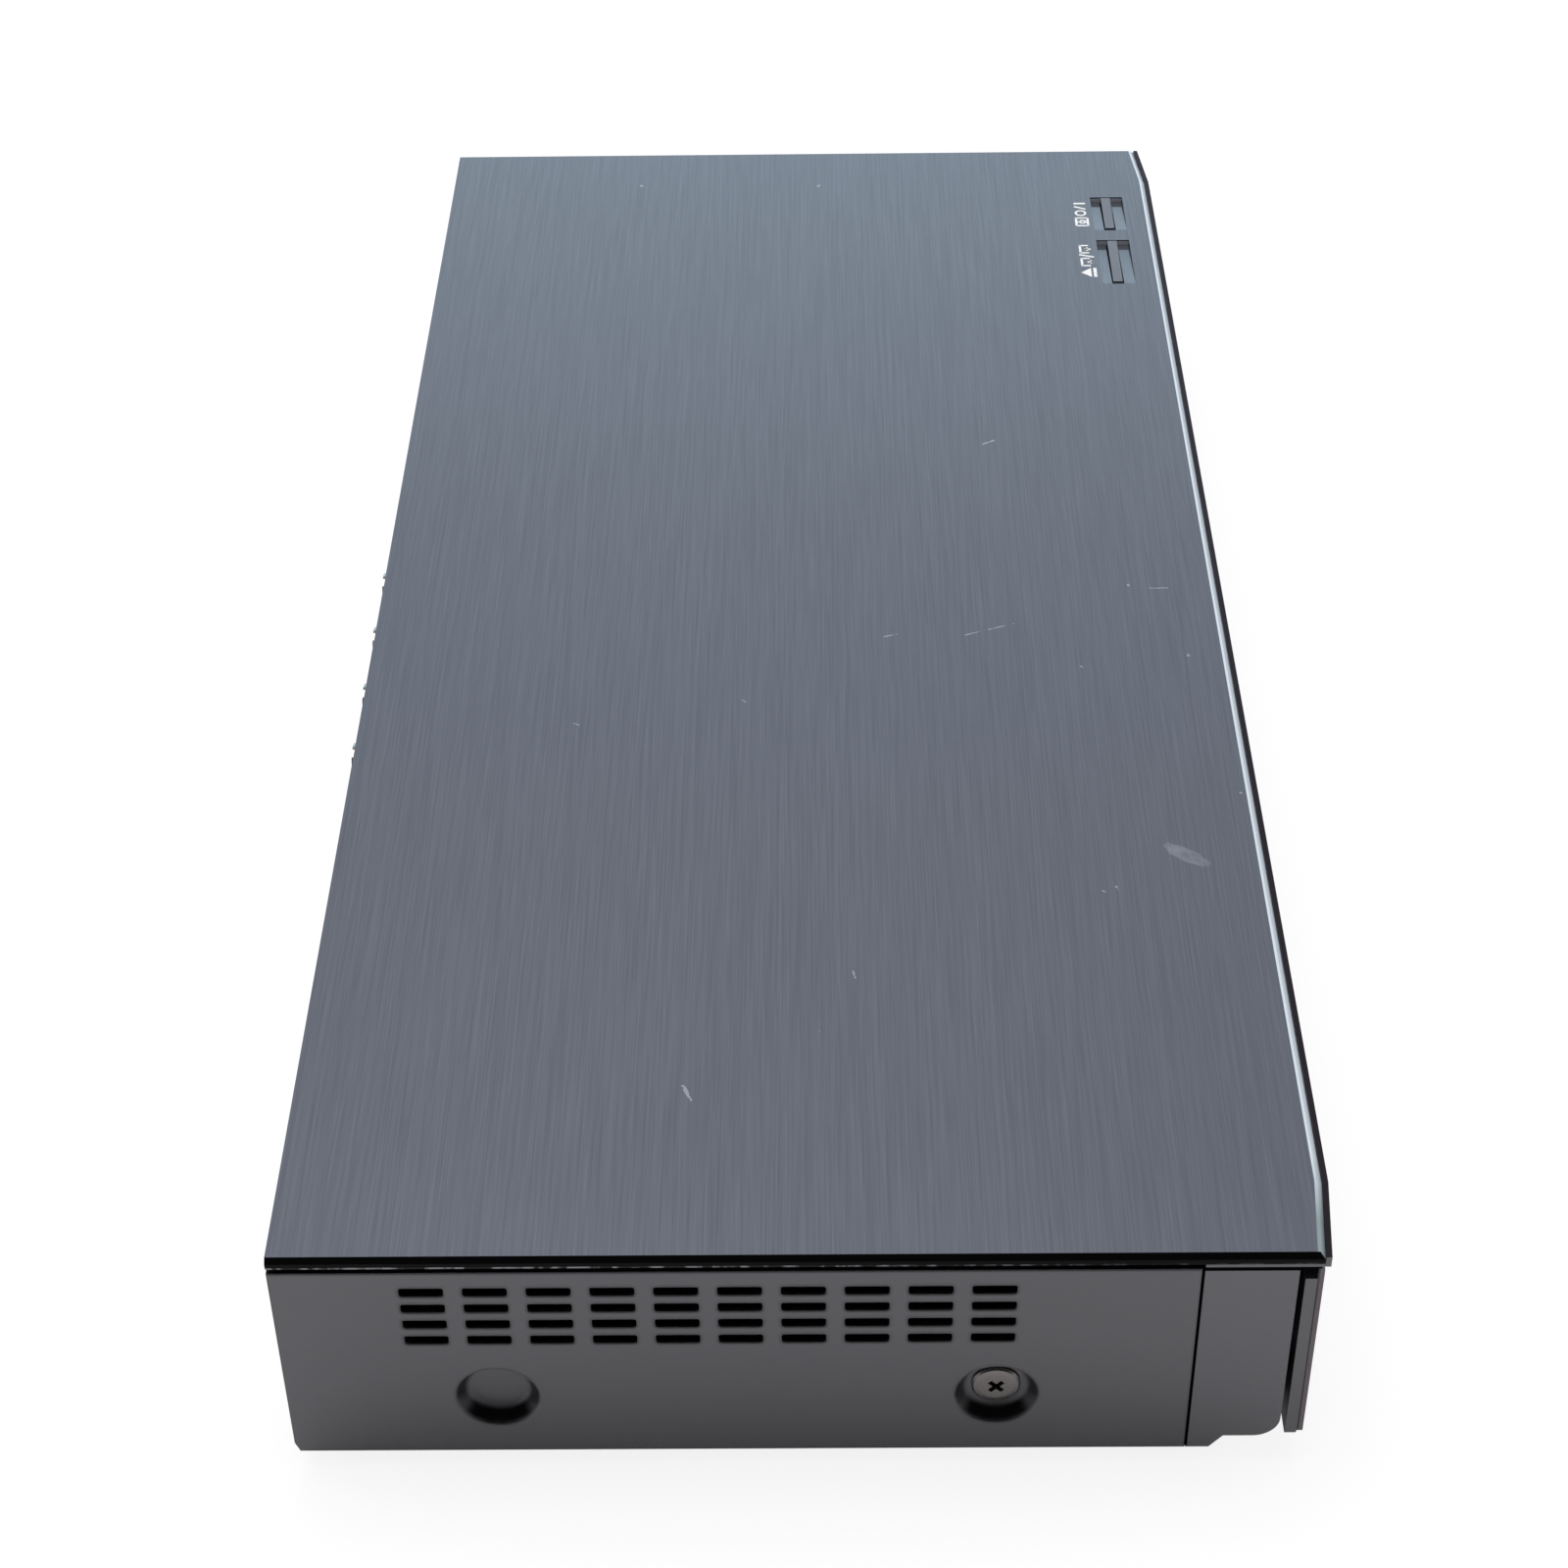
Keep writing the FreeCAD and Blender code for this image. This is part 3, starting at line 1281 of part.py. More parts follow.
rack = shaped("Rack", rack_face().extrude(Vector(0, 0, number_of(of.tray_low - of.rack_low))),
              0, 0, of.rack_low)
tray_z = (of.tray_low, of.tray_high)
rail_y = (backing_back, of.tray_rail_back)
rail = of.tray_rail_wide
slot_half = of.tray_slot_half
slab = fuse(
    block(tray_x, (backing_back, of.tray_back), tray_z),
    block(from_low(tray_x[0], rail), rail_y, tray_z),
    block((tray_x[1] - rail, tray_x[1]), rail_y, tray_z),
)
keep("disc_tray", fuse(cut(
    slab,
    rod("z", spindle, of.disc_recess, (of.disc_floor, of.tray_high + OVER)),
    rod("z", spindle, of.small_disc_recess, (of.small_disc_floor, of.tray_high + OVER)),
    rod("z", spindle, slot_half, wider(tray_z, OVER)),
    block(wider(mid_line, slot_half), (spindle[1], of.tray_back + OVER), wider(tray_z, OVER)),
), rack))
bezel = part_body("BezelMoulding")
pad(bezel, "xy", (of.bezel_low, window_z[1]),
    oblong(wider(drive_x, -of.reveal), (window_face - of.bow, backing_back)))
dress(bezel, "Chamfer", of.window_bevel,
      lambda p: near(p.z, window_z[1]) and near(p.y, window_face - of.bow))
keep("tray_bezel", bezel)


def gear_half(level, radius):
    """Half a gear tooth's thickness at a height from the pitch circle, close to the involute."""
    lean = 1 + level * module / radius if level > 0 else 0.55
    return pitch / 4 - SIZES["backlash"] / 4 - level * module * SLOPE * lean


def gear_face(teeth, turned):
    """A spur gear's outline, with one tooth pointing along the given angle."""
    radius = module * teeth / 2
    points = []
    for number in range(teeth):
        middle = math.radians(turned) + 2 * math.pi * number / teeth
        for side, levels in ((-1, (-DEPTH, 0.0, HEIGHT)), (1, (HEIGHT, 0.0, -DEPTH))):
            for level in levels:
                reach = radius + level * module
                angle = middle + side * gear_half(level, radius) / reach
                points.append(Vector(reach * math.cos(angle), reach * math.sin(angle), 0))
    return Part.Face(Part.makePolygon(points + points[:1]))


def gear(name, teeth, turned, place, span):
    blank = gear_face(teeth, turned).extrude(Vector(0, 0, number_of(span[1] - span[0])))
    return cut(shaped(name, blank, place[0], place[1], span[0]), rod("z", place, pin_bore, span))


def pulley(place, groove, bore):
    low = of.pulley_low
    high = of.pulley_low + of.pulley_high
    rim = groove + of.pulley_lip
    wheel = fuse(rod("z", place, groove, (low, high)), rod("z", place, rim, from_low(low, of.lip_thick)),
                 rod("z", place, rim, (high - of.lip_thick, high)))
    return cut(wheel, rod("z", place, bore, (low, high)))


def belt_loop(extra):
    """The belt's outline seen from above, the given distance outside both pulleys' grooves."""
    small = SIZES["motor_pulley_round"] + extra
    large = SIZES["pulley_round"] + extra
    spacing = SIZES["belt_spacing"]
    lean = math.asin((large - small) / spacing)
    a = Vector(-small * math.sin(lean), small * math.cos(lean), 0)
    b = Vector(spacing - large * math.sin(lean), large * math.cos(lean), 0)
    c = Vector(b.x, -b.y, 0)
    d = Vector(a.x, -a.y, 0)
    edges = [Part.LineSegment(a, b), Part.Arc(b, Vector(spacing + large, 0, 0), c),
             Part.LineSegment(c, d), Part.Arc(d, Vector(-small, 0, 0), a)]
    return Part.Face(Part.Wire([edge.toShape() for edge in edges]))


# The loading gear shows a gap to the rack; what it shows to the pinion depends on its teeth
keep("loading_gear", gear("GearBlank", SIZES["gear_teeth"], 180.0 / SIZES["gear_teeth"], gear_place,
                          (of.gear_low, gear_top)))
pinion_turn = 180.0 / SIZES["pinion_teeth"] if SIZES["gear_teeth"] % 2 else 0.0
pinion = gear("PinionBlank", SIZES["pinion_teeth"], pinion_turn, pinion_place,
              (of.pulley_low + of.pulley_high, pinion_top - of.gap))
keep("loading_pulley", fuse(pulley(pinion_place, of.pulley_round, pin_bore), pinion))
motor_top = of.pulley_low - of.motor_boss
keep("loading_motor", fuse(
    rod("z", motor_place, of.motor_round, (drive_floor, motor_top)),
    rod("z", motor_place, of.motor_boss, (motor_top, of.pulley_low - of.gap)),
    rod("z", motor_place, of.motor_shaft, (motor_top, of.pulley_low + of.pulley_high)),
))
keep("motor_pulley", pulley(motor_place, of.motor_pulley_round, of.motor_shaft + of.fit))
belt_face = belt_loop(SIZES["fit"] + SIZES["belt_thick"]).cut(belt_loop(SIZES["fit"]))
belt_low = of.pulley_low + (of.pulley_high - of.belt_thick) / 2
belt = belt_face.extrude(Vector(0, 0, SIZES["belt_thick"]))
keep("loading_belt", shaped("Belt", belt, *motor_place, belt_low))

# Traverse: a steel plate on two trunnions that carries the spindle, the pickup and their motors
on_plate = of.traverse_low + of.traverse_thick
slab_z = (of.traverse_low, on_plate)
rod_y = (of.rod_front, of.rod_back)
rod_places = [(x, of.rod_high) for x in wider(mid_line, of.rod_side)]
post_z = (on_plate, of.rod_high + of.rod_post)
lens = (mid_x, of.spindle_row + of.lens_start)
pickup_y = wider((lens[1], lens[1]), of.pickup_long / 2)
lead = (mid_x + of.screw_side, of.rod_high)
lead_front = of.spindle_row + of.lead_start
sled_motor_y = from_low(of.rod_back - 2 * of.rod_post, of.sled_motor_long)
cam_pin = (mid_x + of.cam_pin_side, of.cam_pin_high)
cheek_z = (of.traverse_low, trunnion[1] + of.trunnion_long)
cheek_y = wider((trunnion[0], trunnion[0]), of.trunnion_long)
carried = [
    rod("y", cam_pin, of.pin_round, (slider_y[0] - of.gap, of.traverse_front)),
    rod("x", trunnion, of.trunnion_round, (trunnion_x[0], traverse_x[0])),
    rod("x", trunnion, of.trunnion_round, (traverse_x[1], trunnion_x[1])),
    block(from_low(traverse_x[0], of.trunnion_long), cheek_y, cheek_z),
    block((traverse_x[1] - of.trunnion_long, traverse_x[1]), cheek_y, cheek_z),
    block(wider((lead[0], lead[0]), of.rod_post), from_low(lead_front, of.rod_post), post_z),
]
for x, level in rod_places:
    for start in (rod_y[0], rod_y[1] - of.rod_post):
        carried.append(block(wider((x, x), of.rod_post), from_low(start, of.rod_post), post_z))
window_y = (of.spindle_row + of.lens_start - of.rod_post * 2, of.rod_back - 4 * of.rod_post)
traverse_slab = cut(
    block(traverse_x, (of.traverse_front, of.traverse_back), slab_z),
    block(wider(mid_line, of.rod_side - 2 * of.rod_post), window_y, wider(slab_z, OVER)),
)
keep("traverse_frame", cut(
    fuse(traverse_slab, *carried),
    rod("y", lead, of.lead_round + of.fit, wider(from_low(lead_front, of.rod_post), OVER)),
    *[rod("y", place, of.rod_round, rod_y) for place in rod_places],
))
keep("guide_rods", group(*[rod("y", place, of.rod_round, rod_y) for place in rod_places]))
spindle_motor_top = on_plate + of.spindle_motor_thick
keep("spindle_motor", fuse(
    rod("z", spindle, of.spindle_motor_round, (on_plate, spindle_motor_top)),
    rod("z", spindle, of.spindle_shaft, (on_plate, of.disc_seat - of.socket_wall)),
))
rotor_low = spindle_motor_top + of.gap
keep("turntable", cut(
    fuse(
        rod("z", spindle, of.spindle_motor_round - 1, (rotor_low, of.disc_seat - 2 * of.turntable_thick)),
        rod("z", spindle, of.spindle_motor_round / 2, (rotor_low, of.disc_seat)),
        rod("z", spindle, of.turntable_round, (of.disc_seat - of.turntable_thick, of.disc_seat)),
        rod("z", spindle, of.cone_round, (of.disc_seat - of.socket_wall, of.disc_seat + of.cone_high / 2)),
        taper("z", spindle, (of.cone_round, of.cone_round - of.cone_taper),
              (of.disc_seat + of.cone_high / 2, of.disc_seat + of.cone_high)),
    ),
    rod("z", spindle, of.spindle_shaft + of.fit, (rotor_low, of.disc_seat - of.socket_wall + of.fit)),
))
finger_x = (lead[0] + of.lead_round + of.gap, mid_x - of.pickup_half)
keep("pickup_sled", cut(
    fuse(block(wider(mid_line, of.pickup_half), pickup_y, (of.pickup_low, of.pickup_top)),
         block(finger_x, wider((lens[1], lens[1]), of.lens_round), wider((lead[1], lead[1]), of.lead_round))),
    rod("z", lens, of.lens_round + of.gap, (of.pickup_top - 3 * of.lens_high, of.pickup_top + OVER)),
    *[rod("y", place, of.rod_round + of.fit, pickup_y) for place in rod_places],
))
lens_top = of.pickup_top + of.lens_high
keep("objective_lens", fuse(
    rod("z", lens, of.lens_round, (of.pickup_top - 2 * of.lens_high, lens_top)),
    taper("z", lens, (of.lens_round - of.lens_high, of.lens_round / 3), from_low(lens_top, of.lens_high)),
))
keep("lead_screw", rod("y", lead, of.lead_round, (lead_front, sled_motor_y[0] - of.gap)))
keep("sled_motor", fuse(
    rod("y", lead, of.sled_motor_round, sled_motor_y),
    block(wider((lead[0], lead[0]), of.sled_motor_round), sled_motor_y, (on_plate, lead[1])),
))

# Cam slider: a plate whose slanting groove lifts the traverse's front pin
cam_drop = (trunnion[0] - (slider_y[0] + slider_y[1]) / 2) * sine(of.traverse_tilt)
rise = cam_drop / of.cam_run
groove_half = of.pin_round * (1 + rise) / 2 + of.groove_clearance / 2
groove_right = cam_pin[0] + of.groove_end
groove_left = cam_pin[0] - of.cam_run - of.groove_end
right_level = cam_pin[1] + rise * of.groove_end
left_level = cam_pin[1] - cam_drop - rise * of.groove_end
slider = part_body("SliderPlate")
pad(slider, "xz", slider_y, oblong(from_low(traverse_x[0], of.slider_long),
                                   from_low(of.slider_low, of.slider_high)))
pocket(slider, "xz", slider_y, [
    (groove_right, right_level + groove_half), (groove_left, left_level + groove_half),
    (groove_left, left_level - groove_half), (groove_right, right_level - groove_half),
])
keep("cam_slider", slider)

# Hard disk: a cast body with its board below, a lid above, two platters and a swinging arm
disk_z = from_low(of.disk_low, of.disk_high)
lid_low = disk_z[1] - of.disk_lid
hub = (disk_x[0] + of.disk_wide / 2, (disk_y[0] + disk_y[1]) / 2)
arm_place = (hub[0] + of.arm_pivot_across, hub[1] + of.arm_pivot_along)
hollow_low = disk_z[0] + of.disk_floor
hollow_z = (hollow_low, disk_z[1])
board_room = wider(disk_x, -of.disk_board_inset), wider(disk_y, -of.disk_board_inset)
board_level = of.disk_low + of.gap * 2
keep("hard_disk_body", cut(
    block(disk_x, disk_y, (disk_z[0], lid_low)),
    rod("z", hub, of.platter_round + of.gap * 3, hollow_z),
    block((hub[0] + of.platter_round / 2, disk_x[1] - of.disk_wall), wider(disk_y, -of.disk_wall), hollow_z),
    block(*board_room, (disk_z[0] - OVER, board_level + of.board_thick)),
))
keep("hard_disk_board", block(*[wider(span, -of.gap) for span in board_room],
                              from_low(board_level, of.board_thick)))
keep("hard_disk_lid", block(wider(disk_x, -of.gap), wider(disk_y, -of.gap), (lid_low, disk_z[1])))
platter_levels = (hollow_low + of.platter_first, hollow_low + of.platter_first + of.platter_step)
keep("hard_disk_platters", fuse(
    rod("z", hub, of.platter_hub, (hollow_low + of.gap, hollow_low + of.hub_high)),
    *[rod("z", hub, of.platter_round, from_low(low, of.platter_thick)) for low in platter_levels],
))
blade = Part.makeBox(SIZES["arm_long"], SIZES["arm_wide"], SIZES["arm_high"],
                     Vector(0, -SIZES["arm_wide"] / 2, 0))
coil_corner = Vector(-SIZES["coil_long"], -SIZES["coil_wide"] / 2,
                     (SIZES["arm_high"] - SIZES["coil_high"]) / 2)
coil = Part.makeBox(SIZES["coil_long"], SIZES["coil_wide"], SIZES["coil_high"], coil_corner)
swing = blade.fuse(coil)
swing.rotate(Vector(), Vector(0, 0, 1), SIZES["arm_rest"])
keep("hard_disk_arm", fuse(
    rod("z", arm_place, of.arm_bearing, (hollow_low + of.gap, hollow_low + of.hub_high)),
    shaped("ArmBlade", swing, *arm_place, hollow_low + of.arm_level),
))

# Screws: two black ones in the side dimples, and plain ones on the rear panel and the boards
side_screws = []
seat = (dimple_inner, dimple_inner + of.screw_head_thick)
for side, head_x, shank_x, cross_x in zip(
        (-1, 1), both_sides(seat), both_sides((seat[0] - of.screw_long, seat[0])),
        both_sides((seat[1] - of.cross_deep, seat[1] + OVER))):
    centre = (screw_row, dimple_high)
    long_y = wider((screw_row, screw_row), of.cross_long / 2)
    long_z = wider((dimple_high, dimple_high), of.cross_long / 2)
    thin_y = wider((screw_row, screw_row), of.cross_wide / 2)
    thin_z = wider((dimple_high, dimple_high), of.cross_wide / 2)
    side_screws.append(cut(
        fuse(rod("x", centre, of.screw_head / 2, head_x), rod("x", centre, of.screw_shank / 2, shank_x)),
        block(cross_x, long_y, thin_z), block(cross_x, thin_y, long_z)))
keep("side_screws", group(*side_screws))
edge_x = half - of.panel_screw_inset
keep("rear_screws", group(*[
    rod("y", (x, z), of.small_head / 2, from_low(panel_face, of.small_head_thick))
    for x in (-edge_x, -of.panel_screw_mid, of.panel_screw_mid, edge_x)
    for z in (of.panel_screw_low, of.panel_screw_high)]))
keep("chassis_screws", group(*[
    rod("z", place, of.small_head / 2, from_low(board_top, of.small_head_thick)) for place in board_posts]))

doc.recompute()
failed = [item.Name for item in doc.Objects if "Invalid" in item.State or "Error" in item.State]
for item in pieces:
    if item.Shape.isNull() or not item.Shape.isValid():
        failed.append(item.Label)
if failed:
    raise ValueError("failed: " + ", ".join(failed))
os.makedirs("parts", exist_ok=True)
for item in pieces:
    item.Shape.exportStep("parts/%s.step" % item.Label)
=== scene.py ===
import math

import bmesh
import bpy
from mathutils import Matrix, Vector


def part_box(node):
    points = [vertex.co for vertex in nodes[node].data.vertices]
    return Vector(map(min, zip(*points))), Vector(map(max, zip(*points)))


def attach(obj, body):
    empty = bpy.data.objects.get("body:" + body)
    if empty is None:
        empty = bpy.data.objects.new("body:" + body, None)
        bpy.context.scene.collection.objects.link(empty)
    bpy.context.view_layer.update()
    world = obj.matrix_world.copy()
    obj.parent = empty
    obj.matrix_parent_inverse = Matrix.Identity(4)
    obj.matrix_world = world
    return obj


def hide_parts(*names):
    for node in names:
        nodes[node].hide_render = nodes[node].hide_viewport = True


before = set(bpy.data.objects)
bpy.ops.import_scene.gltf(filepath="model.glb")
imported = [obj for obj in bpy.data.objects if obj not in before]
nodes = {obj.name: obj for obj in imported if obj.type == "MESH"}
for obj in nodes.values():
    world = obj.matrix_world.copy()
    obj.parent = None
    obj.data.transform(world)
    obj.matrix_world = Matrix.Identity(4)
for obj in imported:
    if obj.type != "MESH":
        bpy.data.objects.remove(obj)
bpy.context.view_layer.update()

# Top plate: a black resin slab with a hairline-brushed film under clear gloss.
# It is moulded with bevelled edges and taped to the steel cover; only its flat top shows the film.


def paint(code):
    """A colour written as a paint chart's code, as Blender wants it."""
    parts = [int(code[k:k + 2], 16) / 255 for k in (1, 3, 5)]
    return [c / 12.92 if c <= 0.04045 else ((c + 0.055) / 1.055) ** 2.4 for c in parts] + [1.0]


def add(tree, kind, into=None, **settings):
    """Puts a node in a tree; `into` gives its sockets a value or another node's output."""
    made = tree.nodes.new(kind)
    for word, value in settings.items():
        setattr(made, word, value)
    for socket, value in (into or {}).items():
        if isinstance(value, bpy.types.NodeSocket):
            tree.links.new(value, made.inputs[socket])
        else:
            made.inputs[socket].default_value = value
    return made


def maths(tree, kind, a, b=0.0, c=0.0, clamp=False):
    """One step of arithmetic in a tree, on numbers or other nodes' outputs."""
    made = add(tree, "ShaderNodeMath", {0: a, 1: b, 2: c}, operation=kind, use_clamp=clamp)
    return made.outputs[0]


def blend_of(tree, share, a, b):
    """Colour a where the share is 0 and colour b where it is 1."""
    made = add(tree, "ShaderNodeMix", {0: share, 6: a, 7: b}, data_type="RGBA")
    return made.outputs[2]


def ramp(tree, value, low, high, start=0.0, end=1.0):
    """Stretches a value between two marks to a new range, and holds it there."""
    made = add(tree, "ShaderNodeMapRange", {0: value, 1: low, 2: high, 3: start, 4: end})
    return made.outputs[0]


def effect(name, takes, gives):
    """An effect that several finishes share; returns its tree, its own inputs and its end node."""
    tree = bpy.data.node_groups.new(name, "ShaderNodeTree")
    kinds = {float: "NodeSocketFloat", tuple: "NodeSocketVector"}
    for word, value in takes.items():
        socket = tree.interface.new_socket(word, in_out="INPUT", socket_type=kinds[type(value)])
        socket.default_value = value
    for word, kind in gives.items():
        tree.interface.new_socket(word, in_out="OUTPUT", socket_type=kind)
    return tree, add(tree, "NodeGroupInput").outputs, add(tree, "NodeGroupOutput")


def use(tree, group, **inputs):
    """Puts a shared effect in a finish and returns its outputs."""
    return add(tree, "ShaderNodeGroup", {k.replace("_", " "): v for k, v in inputs.items()},
               node_tree=group).outputs


def finish(name, **fixed):
    """A new material with its shader; sizes that are the same all over go on the shader's own sockets."""
    made = bpy.data.materials.new(name)
    made.use_nodes = True
    shader = made.node_tree.nodes["Principled BSDF"]
    for word, value in fixed.items():
        shader.inputs[word.replace("_", " ")].default_value = value
    return made, made.node_tree, shader


def spot_on(tree):
    """The surface point's own place on the object, as one vector."""
    return add(tree, "ShaderNodeTexCoord").outputs["Object"]


def place_on(tree):
    """The surface point's own x, y and z on the object."""
    return add(tree, "ShaderNodeSeparateXYZ", {0: spot_on(tree)}).outputs


def facing_of(tree):
    """Which way the surface faces, as x, y and z."""
    surface = add(tree, "ShaderNodeNewGeometry").outputs
    return add(tree, "ShaderNodeSeparateXYZ", {0: surface["Normal"]}).outputs


def drive(tree, shader, word, output):
    """Joins an output to one of the shader's sockets."""
    tree.links.new(output, shader.inputs[word])


def dress(material, *names):
    """Gives nodes of the frame their finish."""
    for name in names:
        item = nodes[name]
        item.data.materials.clear()
        item.data.materials.append(material)


# Hairlines: noise drawn out along one direction
streaks, given, out = effect("hairlines", {"Scale": (1.0, 1.0, 1.0)}, {"Streak": "NodeSocketFloat"})
place = spot_on(streaks)
drawn = add(streaks, "ShaderNodeVectorMath", {0: place, 1: given["Scale"]}, operation="MULTIPLY").outputs[0]
lines = add(streaks, "ShaderNodeTexNoise", {"Vector": drawn, "Scale": 1.0, "Detail": 3.0, "Roughness": 0.6})
streaks.links.new(lines.outputs["Fac"], out.inputs["Streak"])

# Dust: a few small specks of uneven size
dust, given, out = effect("dust", {"Scale": 60.0, "Share": 0.2, "Size": 0.08}, {"Mask": "NodeSocketFloat"})
place = spot_on(dust)
bent = add(dust, "ShaderNodeTexNoise", {"Vector": place, "Scale": 900.0, "Detail": 1.0})
shake = add(dust, "ShaderNodeVectorMath", {0: bent.outputs["Color"], 3: 0.0012}, operation="SCALE").outputs[0]
moved = add(dust, "ShaderNodeVectorMath", {0: place, 1: shake}, operation="ADD").outputs[0]
cells = add(dust, "ShaderNodeTexVoronoi", {"Vector": moved, "Scale": given["Scale"]})
picked = add(dust, "ShaderNodeSeparateColor", {0: cells.outputs["Color"]}).outputs
size = maths(dust, "MULTIPLY", given["Size"], picked[1])
spot = maths(dust, "LESS_THAN", cells.outputs["Distance"], size)
chosen = maths(dust, "LESS_THAN", picked[0], given["Share"])
dust.links.new(maths(dust, "MULTIPLY", spot, chosen), out.inputs["Mask"])

# Scratch: a thin mark between two places on the plate, in metres from the middle
scratch, given, out = effect("scratch", {
    "From": (0.0, 0.0, 0.0), "To": (0.0, 0.0, 0.0), "Width": 0.0002, "Worn": 1.0},
    {"Mask": "NodeSocketFloat"})
place = spot_on(scratch)
flat = add(scratch, "ShaderNodeVectorMath", {0: place, 1: (1, 1, 0)}, operation="MULTIPLY").outputs[0]
rel = add(scratch, "ShaderNodeVectorMath", {0: flat, 1: given["From"]}, operation="SUBTRACT").outputs[0]
run = add(scratch, "ShaderNodeVectorMath", {
    0: given["To"], 1: given["From"]}, operation="SUBTRACT").outputs[0]
along = add(scratch, "ShaderNodeVectorMath", {0: rel, 1: run}, operation="DOT_PRODUCT").outputs["Value"]
whole = add(scratch, "ShaderNodeVectorMath", {0: run, 1: run}, operation="DOT_PRODUCT").outputs["Value"]
share = maths(scratch, "DIVIDE", along, whole, clamp=True)
foot = add(scratch, "ShaderNodeVectorMath", {0: run, 3: share}, operation="SCALE").outputs[0]
gap = add(scratch, "ShaderNodeVectorMath", {0: rel, 1: foot}, operation="DISTANCE").outputs["Value"]
edge = maths(scratch, "MULTIPLY", given["Width"], given["Worn"])
scratch.links.new(maths(scratch, "LESS_THAN", gap, edge), out.inputs["Mask"])

brushed, tree, shader = finish("brushed_film", Coat_Roughness=0.05, Coat_IOR=1.5)
fine = use(tree, streaks, Scale=(38.0, 3600.0, 3600.0))["Streak"]
broad = use(tree, streaks, Scale=(16.0, 1300.0, 1300.0))["Streak"]
lines = maths(tree, "MULTIPLY_ADD", broad, 0.25, maths(tree, "MULTIPLY", fine, 0.75))
film = blend_of(tree, ramp(tree, lines, 0.36, 0.66), paint("#575b67"), paint("#686c77"))
place = spot_on(tree)
cloud = add(tree, "ShaderNodeTexNoise", {"Vector": place, "Scale": 420.0, "Detail": 4.0}).outputs["Fac"]
worn = ramp(tree, cloud, 0.42, 0.58)
marks = use(tree, dust, Scale=70.0, Share=0.05, Size=0.05)["Mask"]
# Scratches and specks on the plate: from, to and half their width
MARKS = (
    ((-0.0221, -0.0426), (-0.0177, -0.0542), 0.0002), ((0.0589, -0.0504), (0.0602, -0.0529), 0.0006),
    ((-0.0461, 0.0089), (-0.0470, 0.0080), 0.0003), ((-0.0226, -0.0237), (-0.0215, -0.0270), 0.0003),
    ((-0.1698, 0.0186), (-0.1736, 0.0169), 0.0004), ((-0.0543, 0.0466), (-0.0550, 0.0454), 0.0004),
    ((-0.0040, -0.0867), (-0.0040, -0.0913), 0.0002), ((-0.1367, -0.0150), (-0.1390, -0.0155), 0.0002),
    ((-0.1539, -0.0079), (-0.1546, -0.0082), 0.0004), ((-0.1127, -0.0678), (-0.1133, -0.0686), 0.0003),
    ((-0.1113, -0.0706), (-0.1127, -0.0710), 0.0003), ((-0.0026, -0.0819), (-0.0028, -0.0820), 0.0004),
    ((-0.0305, -0.0934), (-0.0308, -0.0935), 0.0004), ((-0.0805, -0.1000), (-0.0807, -0.1001), 0.0003),
    ((-0.0345, -0.0686), (-0.0349, -0.0690), 0.0003),
    ((0.1945, -0.0095), (0.1952, -0.0099), 0.0005), ((0.1955, 0.0410), (0.1958, 0.0412), 0.0005))
for start, end, width in MARKS:
    line = use(tree, scratch, From=(*start, 0.0), To=(*end, 0.0), Width=width, Worn=worn)["Mask"]
    marks = maths(tree, "MAXIMUM", marks, line)
# A scuffed patch near the front edge
SCUFF_MIDDLE, SCUFF_TURN, SCUFF_SIZE = (-0.1012, -0.0861, 0.059), 0.93, (0.0056, 0.0021, 1.0)
patch = add(tree, "ShaderNodeMapping", {
    "Vector": place, "Location": SCUFF_MIDDLE, "Rotation": (0, 0, SCUFF_TURN), "Scale": SCUFF_SIZE},
    vector_type="TEXTURE").outputs[0]
reach = add(tree, "ShaderNodeVectorMath", {0: patch}, operation="LENGTH").outputs["Value"]
ragged = maths(tree, "MULTIPLY_ADD", cloud, 1.1, maths(tree, "SUBTRACT", reach, 0.55))
scuff = maths(tree, "MULTIPLY", ramp(tree, ragged, 1.05, 0.9), ramp(tree, cloud, 0.35, 0.65, 0.3, 0.75))
film = blend_of(tree, scuff, film, paint("#8c919a"))
parts = add(tree, "ShaderNodeSeparateXYZ", {0: place}).outputs
height = parts[2]
# Painted shade: the scoops' slopes take one flat, darker tone without film, darkest towards their bottom
PLATE_TOP = 0.059
film = blend_of(tree, ramp(tree, height, PLATE_TOP - 0.0012, PLATE_TOP - 0.0001), paint("#565b66"), film)
film = blend_of(tree, marks, film, paint("#979ca4"))
facing = facing_of(tree)
on_top = ramp(tree, facing[2], 0.9, 0.97)
# Painted highlight: a pale line along the front bevel and the top's front edge, which bends back near the
# plate's ends
HIGHLIGHT_EDGE, BEND_FROM, BEND_TO, BEND_BACK = -0.10125, 0.196, 0.215, 0.0017
across = maths(tree, "ABSOLUTE", parts[0])
from_edge = maths(tree, "SUBTRACT", parts[1], ramp(tree, across, BEND_FROM, BEND_TO, 0.0, BEND_BACK))
on_bevel = maths(tree, "MULTIPLY", ramp(tree, facing[1], -0.55, -0.62), ramp(tree, facing[2], 0.5, 0.6))
on_bevel = maths(tree, "MAXIMUM", on_bevel, maths(tree, "MULTIPLY", on_top, maths(
    tree, "LESS_THAN", from_edge, HIGHLIGHT_EDGE)))
